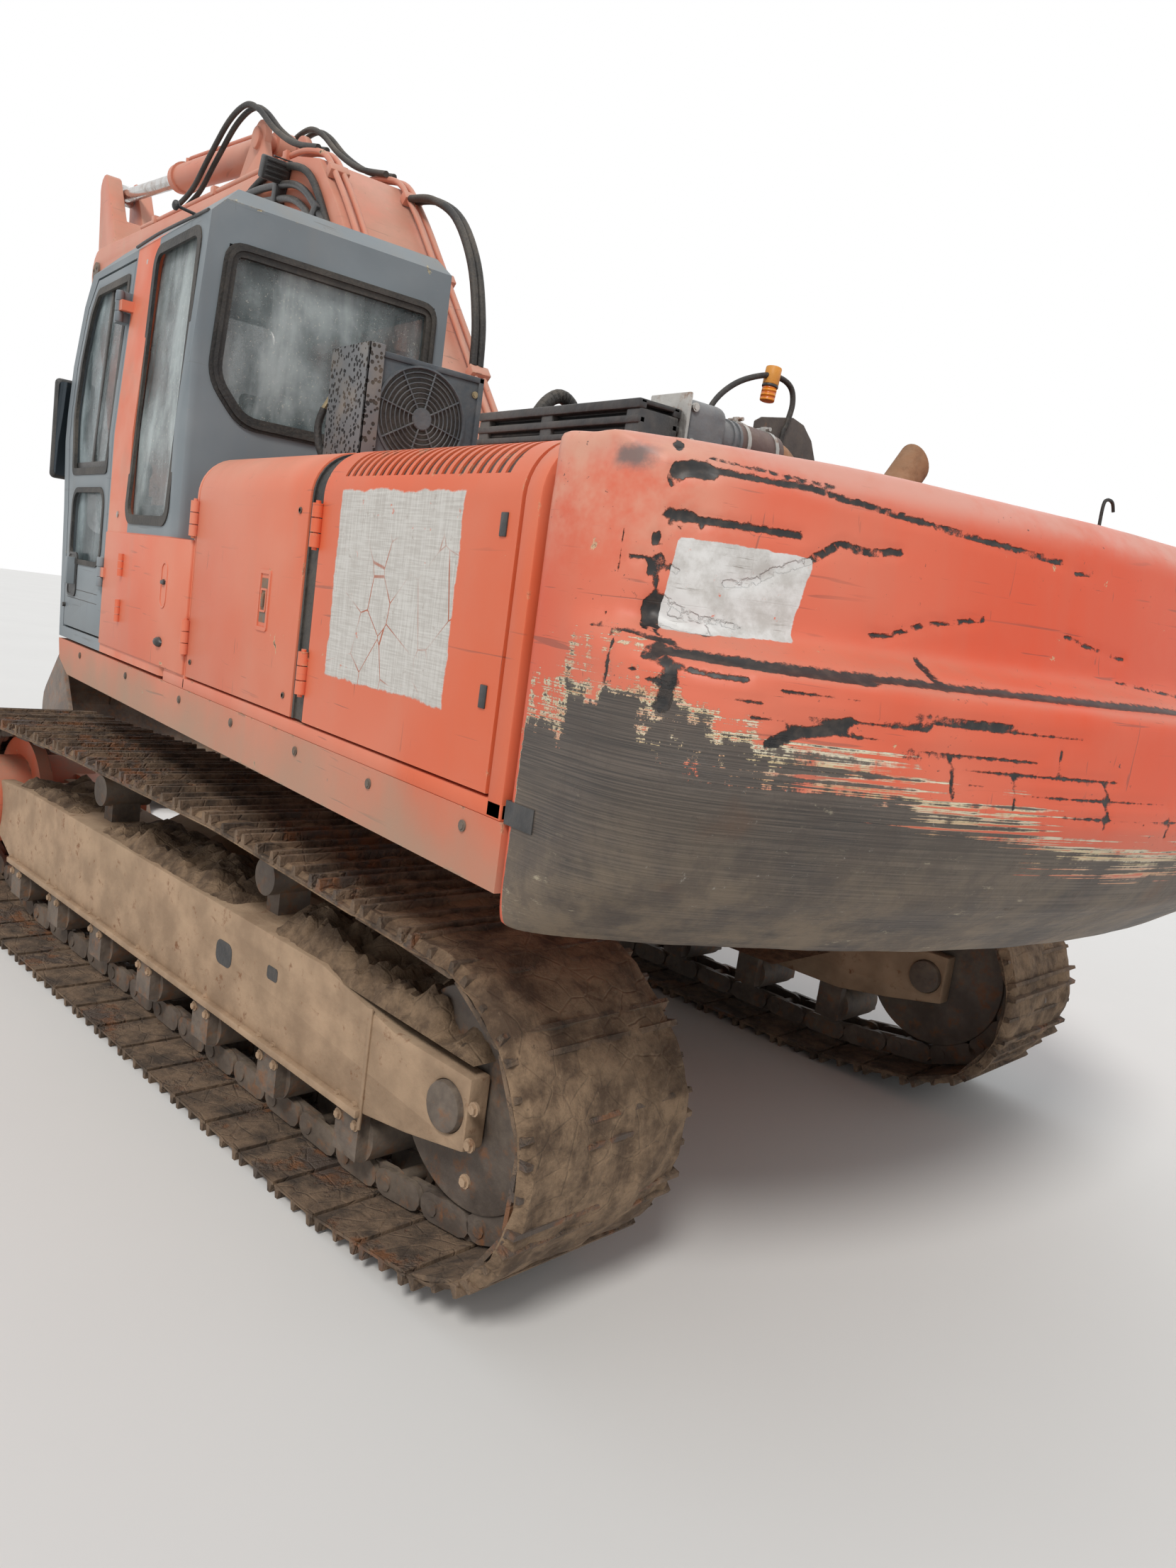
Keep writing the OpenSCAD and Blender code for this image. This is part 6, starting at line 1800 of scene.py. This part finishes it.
def cab_inside():
    """The seat on its bellows, the consoles, levers and pedals, and the box behind the seat."""
    seat, black = meshes(2)
    y = SEAT_MIDDLE
    block(seat, (0.25, y - 0.2, 1.46), (0.65, y + 0.2, 1.6), 0.012)
    for k in range(5):
        block(seat, (0.26 + 0.006 * k, y - 0.19 + 0.006 * k, 1.6 + 0.045 * k),
              (0.64 - 0.006 * k, y + 0.19 - 0.006 * k, 1.64 + 0.045 * k), 0.012)
    block(seat, (0.22, y - 0.23, 1.825), (0.7, y + 0.23, 1.865), 0.015)
    back_turn = Matrix.Rotation(math.radians(-9), 4, "Y")
    block(seat, (0.075, y - 0.2, 1.9), (0.115, y + 0.2, 2.5), 0.02, turn=back_turn)
    for side in (-1, 1):
        middle = y + side * 0.33
        block(black, (0.26, middle - 0.068, 1.46), (0.8, middle + 0.068, 1.98), 0.035, segments=4)
        block(black, (0.2, middle - 0.05, 1.98), (0.62, middle + 0.05, 2.04), 0.022, segments=3)
        hose(black, [(0.7, middle, 1.97), (0.71, middle, 2.04), (0.705, middle, 2.08)], 0.028, 14)
        rod(black, (0.705, middle, 2.07), (0.715, middle, 2.16), 0.014, 14)
        ball(black, (0.718, middle, 2.185), 0.026, (1, 1, 1.5), 14)
        lever, pedal = y + side * 0.08, y + side * 0.09
        hose(black, [(1.12, lever, 1.46), (1.1, lever, 1.62), (1.06, lever, 1.78), (1.05, lever, 1.86)],
             0.01, 8)
        ball(black, (1.05, lever, 1.88), 0.02, (1, 1, 1.3))
        block(black, (1.03, pedal - 0.05, 1.47), (1.2, pedal + 0.05, 1.49), 0.006,
              turn=Matrix.Rotation(-0.35, 4, "Y"))
    block(black, (1.16, y - 0.42, 1.9), (1.21, y - 0.3, 2.06), 0.012)
    block(seat, (-0.16, 0.57, 1.46), (0.02, 1.42, 1.96), 0.02)
    block(black, (-0.17, 0.56, 1.96), (0.03, 1.43, 1.98), 0.006)
    cushion("seat_cushion", (0.2, y - 0.235, 1.86), (0.715, y + 0.235, 1.955), None, (-0.35, 0.35))
    cushion("seat_back", (-0.085, y - 0.215, 2.13), (0.435, y + 0.215, 2.215),
            back_turn @ Matrix.Rotation(math.radians(-90), 4, "Y"), (-0.4, 0.2))
    piece("seat_frame", seat, CAB, "plastic", angle=38, node="operator_seat")
    piece("controls", black, CAB, "plastic", angle=38)


class CabOperator(bpy.types.Operator):
    """Makes the cab's rounded shell, window seals, fittings, mirror, seat and controls."""

    bl_idname = "excavator.cab"
    bl_label = "Cab"

    def execute(self, context):
        for make in (cab_shell, cab_fittings, cab_mirror, door_fittings, cab_inside):
            make()
        return {"FINISHED"}


# Lines, lamp and trim of the working gear

BOOM_HALF, BUCKET_HALF = 0.28, 0.72
BUCKET_TURN = math.radians(230.8)
BUCKET = pin_frame(PIN["bucket_pin"],
                   PIN["bucket_pin"] + Vector((math.cos(BUCKET_TURN), 0, math.sin(BUCKET_TURN))))
# The cylinders: node, pin of the barrel, eye of the rod, places across, radius, length of the barrel
CYLINDERS = [
    ("boom_barrels", (0.74, 0, 1.42), (2.20847, 0, 3.68984), (-0.4, 0.4), 0.078, 1.65),
    ("arm_barrel", (2.99958, 0, 4.44922), (6.5196, 0, 4.83316), (0,), 0.095, 2.02),
    ("bucket_barrel", (6.61837, 0, 3.7054), (5.593, 0, 1.372), (0,), 0.078, 1.35),
]
# Where the side pipe of a cylinder starts, along its barrel
LOW_PORT = 0.42


def line_on(frame_at, points, y):
    """Points given along a boom or arm, at a place across it."""
    return [frame_at @ Vector((u, y, v)) for u, v in points]


def cylinder_trim(body, base, eye, y, radius, size):
    """A cylinder's gland, bands, ports and side pipe."""
    along = (eye - base).normalized()
    across_y = Vector((0, 1, 0))
    up = along.cross(across_y)
    base = base + across_y * y
    bm = bmesh.new()
    for start, end, more in ((size - 0.075, size + 0.002, 0.01), (size - 0.1, size - 0.085, 0.016)):
        rod(bm, base + along * start, base + along * end, radius + more, 32)
    for a in turns(8):
        out = across_y * math.cos(a) + up * math.sin(a)
        bolt(bm, base + along * (size - 0.002) + out * (radius - 0.012), along, 0.009, 0.008)
    top = up if up.z > 0 else -up
    high_port = size - 0.14
    for at in (LOW_PORT, high_port):
        rod(bm, base + along * at, base + along * at + top * (radius + 0.035), 0.022, 14)
    line = [base + along * at + top * (radius + rise) for at, rise in (
        (LOW_PORT, 0.03), (0.48, 0.035), (size - 0.2, 0.035), (high_port, 0.03))]
    hose(bm, line, 0.012, 10, smooth=False)
    place = "left" if y > 0 else "right" if y < 0 else "middle"
    piece(body + "_trim_" + place, bm, body, "boom")


def boom_lines():
    """The pipes and hoses on the boom's back and sides, with their clamps."""
    pipes, hoses = meshes(2)
    back = round_corners([(0.4, 0.49), (1.883, 1.308), (2.235, 1.47), (2.56, 1.442), (2.962, 1.318),
                          (5.45, 0.532)], 0.12, 4, False)
    for y in (-0.245, -0.195, 0.195, 0.245):
        hose(pipes, line_on(BOOM, back, y), 0.016, 10, smooth=False)
        for line, place, radius in (
                ([(0.42, 0.497), (0.16, 0.36), (0.02, 0.2), (-0.03, 0.05), (-0.01, -0.06)], y * 0.8, 0.019),
                ([(2.38, 1.478), (2.75, 1.455), (3.1, 1.49), (3.42, 1.56), (3.66, 1.56), (3.92, 1.44),
                  (4.18, 1.2), (4.42, 0.96), (4.72, 0.795)], y + (0.028 if y < 0 else -0.004), 0.017)):
            hose(hoses, line_on(BOOM, line, place), radius, 10)
    for u, v in ((0.9, 0.767), (1.5, 1.094), (2.1, 1.395), (2.76, 1.375), (3.9, 1.02), (5.1, 0.64)):
        slope = math.atan2(0.545, 1) if u < 2.2 else -math.atan2(0.32, 1)
        for side in (-1, 1):
            made = block(pipes, (-0.03, -0.055, -0.024), (0.03, 0.055, 0.03), 0.005)
            middle = Matrix.Translation((u, side * 0.22, v))
            placed(pipes, made, BOOM @ middle @ Matrix.Rotation(-slope, 4, "Y"))
    side_line = [(1.55, 0.92), (1.9, 1.16), (2.3, 1.345), (2.75, 1.3), (3.06, 1.15), (3.16, 1.06)]
    hose(hoses, line_on(BOOM, side_line, BOOM_HALF + 0.022), 0.02, 12)
    foot_line = [(2.05, 1.405), (1.8, 1.44), (1.5, 1.4), (1.22, 1.235), (1.02, 1.0), (0.92, 0.8)]
    for y in (-0.23, -0.19):
        hose(hoses, line_on(BOOM, foot_line, y), 0.02, 12)
    # The two lines of the bucket cylinder on the left side
    bm = bmesh.new()
    for drop in (0, 0.075):
        line = [(0.52, 0.33), (1.75, 1.1), (2.31, 1.29), (2.95, 1.16), (5.5, 0.26)]
        line = round_corners([(u, v - drop) for u, v in line], 0.22, 6, False)
        hose(bm, line_on(BOOM, line, BOOM_HALF + 0.034), 0.02, 14, smooth=False)
    for u, v, slope in ((1.13, 0.675, -0.56), (2.03, 1.157, -0.33), (2.63, 1.187, 0.2),
                        (3.5, 0.928, 0.34), (4.22, 0.674, 0.34), (4.95, 0.417, 0.34)):
        made = block(bm, (-0.032, -0.03, -0.072), (0.032, 0.03, 0.072), 0.006)
        middle = Matrix.Translation((u, BOOM_HALF + 0.03, v))
        placed(bm, made, BOOM @ middle @ Matrix.Rotation(slope, 4, "Y"))
    piece("boom_side_pipes", bm, "boom", "dark", angle=45, node="boom_pipes")
    lamp, lens = boom_lamp()
    piece("boom_top_pipes", pipes, "boom", "boom", angle=38)
    piece("boom_hoses", hoses, "boom", "rubber", 60)
    piece("boom_lamp_case", lamp, "boom", "plastic", angle=38)
    piece("boom_lamp_lens", lens, "boom", "lens", angle=38)


def boom_lamp():
    """The case and the lens of the work lamp on the boom's left side."""
    lamp, lens = meshes(2)
    for low, high, soft, bm in (((2.58, 0.285, 1.23), (2.65, 0.44, 1.35), 0.012, lamp),
                                ((2.645, 0.297, 1.242), (2.656, 0.428, 1.338), 0.003, lens),
                                ((2.6, 0.27, 1.355), (2.63, 0.38, 1.363), 0.002, lamp),
                                ((2.596, 0.276, 1.19), (2.64, 0.29, 1.365), 0.003, lamp)):
        placed(bm, block(bm, low, high, soft), BOOM)
    for k in range(4):
        rib = block(lamp, (2.572, 0.3, 1.245 + 0.027 * k), (2.582, 0.425, 1.258 + 0.027 * k), 0.003)
        placed(lamp, rib, BOOM)
    return lamp, lens


def arm_lines():
    """The pipes along the arm, with the hoses at their start."""
    pipes, hoses = meshes(2)
    for y in (-0.145, -0.115, 0.115, 0.145):
        along = [(0.02, 0.425), (0.5, 0.425), (1.5, 0.319), (2.55, 0.208)]
        hose(pipes, line_on(ARM, along, y), 0.013, 10, smooth=False)
        start = [(0.04, 0.425), (-0.1, 0.43), (-0.22, 0.36), (-0.25, 0.22)]
        hose(hoses, line_on(ARM, start, y), 0.015, 10)
    for u, v in ((0.32, 0.42), (1.0, 0.368), (1.7, 0.295), (2.35, 0.225)):
        for y in (-0.13, 0.13):
            made = block(pipes, (u - 0.025, y - 0.036, v - 0.02), (u + 0.025, y + 0.036, v + 0.018), 0.004)
            placed(pipes, made, ARM)
    piece("arm_pipes", pipes, "arm", "boom", angle=38)
    piece("arm_hoses", hoses, "arm", "rubber", 60)


def pin_caps():
    """The plates on the ends of the boom's and the arm's pins, each with three bolts."""
    caps = {"boom": bmesh.new(), "arm": bmesh.new()}
    for body, pin, y, radius in (("boom", "boom_foot", 0.425, 0.075), ("boom", "arm_foot", 0.295, 0.08),
                                 ("arm", "bucket_pin", 0.293, 0.07)):
        bm = caps[body]
        for side in (-1, 1):
            middle = PIN[pin] + Vector((0, side * y, 0))
            rod(bm, middle - Vector((0, side * 0.03, 0)), middle + Vector((0, side * 0.004, 0)), radius, 28)
            for a in turns(3):
                a += 0.4
                out = Vector((0.6 * radius * math.cos(a), side * 0.004, 0.6 * radius * math.sin(a)))
                bolt(bm, middle + out, (0, side, 0), 0.01, 0.008)
    for body, bm in caps.items():
        piece(body + "_pin_caps", bm, body, "steel", 38)


def bucket_edge():
    """The bucket's cast teeth and its bolted side cutters."""
    bm = bmesh.new()
    for i in range(5):
        y = -BUCKET_HALF + 0.1 + (2 * BUCKET_HALF - 0.2) * i / 4
        tip = [(1.42, 0.004), (1.566, -0.004), (1.568, 0.008), (1.45, 0.046)]
        root = [(1.3, -0.004), (1.43, -0.006), (1.44, 0.05), (1.34, 0.082), (1.28, 0.086)]
        made = plate(bm, tip, 0.09, on_side(y - 0.045)) + plate(bm, root, 0.116, on_side(y - 0.058))
        placed(bm, made, BUCKET)
    cutter = [(1.375, 0.0), (1.2, 0.012), (0.7, 0.036), (0.66, 0.1), (0.78, 0.15), (1.2, 0.165),
              (1.36, 0.1)]
    for side in (-1, 1):
        place = BUCKET @ Matrix.Diagonal((1, side, 1, 1)) @ on_side(BUCKET_HALF)
        plate(bm, cutter, 0.012, place)
        for u in (0.76, 0.9, 1.04, 1.18):
            at = BUCKET @ Vector((u, side * (BUCKET_HALF + 0.012), 0.095))
            bolt(bm, at, (0, side, 0), 0.016, 0.01)
    piece("bucket_teeth", bm, "bucket", "steel")


class GearOperator(bpy.types.Operator):
    """Lays the pipes, hoses and the lamp of the boom, and the trim of arm, cylinders and bucket."""

    bl_idname = "excavator.gear"
    bl_label = "Working gear"

    def execute(self, context):
        boom_lines()
        arm_lines()
        pin_caps()
        for body, base, eye, places, radius, size in CYLINDERS:
            for y in places:
                cylinder_trim(body, Vector(base), Vector(eye), y, radius, size)
        bucket_edge()
        return {"FINISHED"}


# Deck and tanks


class DeckOperator(bpy.types.Operator):
    """Adds the lids, treads, steps and bolts of the deck and the tanks."""

    bl_idname = "excavator.deck"
    bl_label = "Deck and tanks"

    def execute(self, context):
        body = BODY["main_frame"]
        dark, steel, mats = meshes(3)
        tank, fuel, box = (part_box(n) for n in ("hydraulic_tank", "fuel_tank", "tool_box"))
        for (low, high), radius, place in ((tank, 0.085, 0.5), (fuel, 0.055, 0.72)):
            middle = Vector((low.x + (high.x - low.x) * place, (low.y + high.y) / 2, high.z))
            rod(steel, middle, middle + Vector((0, 0, 0.018)), radius, 32)
            for a in turns(8):
                out = Vector((radius * 0.8 * math.cos(a), radius * 0.8 * math.sin(a), 0.018))
                bolt(steel, middle + out, (0, 0, 1), 0.008, 0.008)
        middle = Vector((fuel[0].x + 0.22, -0.95, fuel[1].z))
        rod(dark, middle, middle + Vector((0, 0, 0.055)), 0.055, 28)
        for low, high in (fuel, box):
            block(mats, (low.x + 0.1, low.y + 0.12, high.z), (high.x - 0.1, high.y - 0.12, high.z + 0.006),
                  0.002)
            for i in range(int((high.x - low.x - 0.26) / 0.06)):
                for j in range(int((high.y - low.y - 0.3) / 0.06)):
                    x, y = low.x + 0.14 + 0.06 * i, low.y + 0.16 + 0.06 * j
                    rod(mats, (x, y, high.z + 0.006), (x, y, high.z + 0.012), 0.012, 6, 0.008)
        for z in (1.52, 1.68):
            block(steel, (box[1].x - 0.004, -1.3, z), (box[1].x + 0.045, -0.85, z + 0.02), 0.005)
        for low, high in (tank, fuel, box):
            for x in (low.x + 0.05, high.x - 0.05):
                for z in (low.z + 0.04, high.z - 0.06):
                    bolt(steel, (x, low.y, z), (0, -1, 0), 0.01, 0.007)
        block(dark, (box[0].x + 0.12, box[0].y - 0.006, box[0].z + 0.1),
              (box[1].x - 0.1, box[0].y + 0.002, box[1].z - 0.08), 0.003)
        rod(dark, (tank[0].x + 0.16, tank[0].y - 0.004, 1.55), (tank[0].x + 0.16, tank[0].y + 0.01, 1.55),
            0.035, 24)
        block(dark, (tank[0].x + 0.14, tank[0].y - 0.008, 1.7), (tank[0].x + 0.18, tank[0].y + 0.002, 2.05),
              0.004)
        # Seam bolts of the deck's edge
        for x in (-2.35, -1.9, -1.45, -0.95, -0.45, 0.2, 0.9):
            for side in (-1, 1):
                bolt(steel, (x, side * SIDE, 1.36), (0, side, 0), 0.009, 0.006)
        piece("deck_mats", mats, body, "dark", angle=38)
        piece("deck_dark_fittings", dark, body, "plastic", angle=38)
        piece("deck_bolts", steel, body, "steel", angle=38)
        return {"FINISHED"}


OPERATORS = [StageOperator, PlainOperator, WeightOperator, TrackOperator, UnderOperator, CoverOperator,
             BayOperator, CabOperator, GearOperator, DeckOperator]


class ExcavatorPanel(bpy.types.Panel):
    """Lists the excavator's groups of pieces."""

    bl_idname = "VIEW3D_PT_excavator"
    bl_label = "Excavator"
    bl_space_type = "VIEW_3D"
    bl_region_type = "UI"
    bl_category = "Excavator"

    def draw(self, context):
        for operator in OPERATORS:
            self.layout.operator(operator.bl_idname)


SETTINGS = {"excavator_stage": StageSettings, "excavator_paint": PaintSettings,
            "excavator_tracks": TrackSettings}
CLASSES = [*SETTINGS.values(), *OPERATORS, ExcavatorPanel]


def register():
    for cls in CLASSES:
        bpy.utils.register_class(cls)
    for name, group in SETTINGS.items():
        setattr(bpy.types.Scene, name, bpy.props.PointerProperty(type=group))


def unregister():
    for name in SETTINGS:
        delattr(bpy.types.Scene, name)
    for cls in reversed(CLASSES):
        bpy.utils.unregister_class(cls)


def main():
    register()
    make_finishes(bpy.context.scene.excavator_paint)
    for operator in OPERATORS:
        group, name = operator.bl_idname.split(".")
        if getattr(getattr(bpy.ops, group), name)() != {"FINISHED"}:
            raise RuntimeError(operator.bl_label + " didn't finish")


if __name__ == "__main__":
    main()
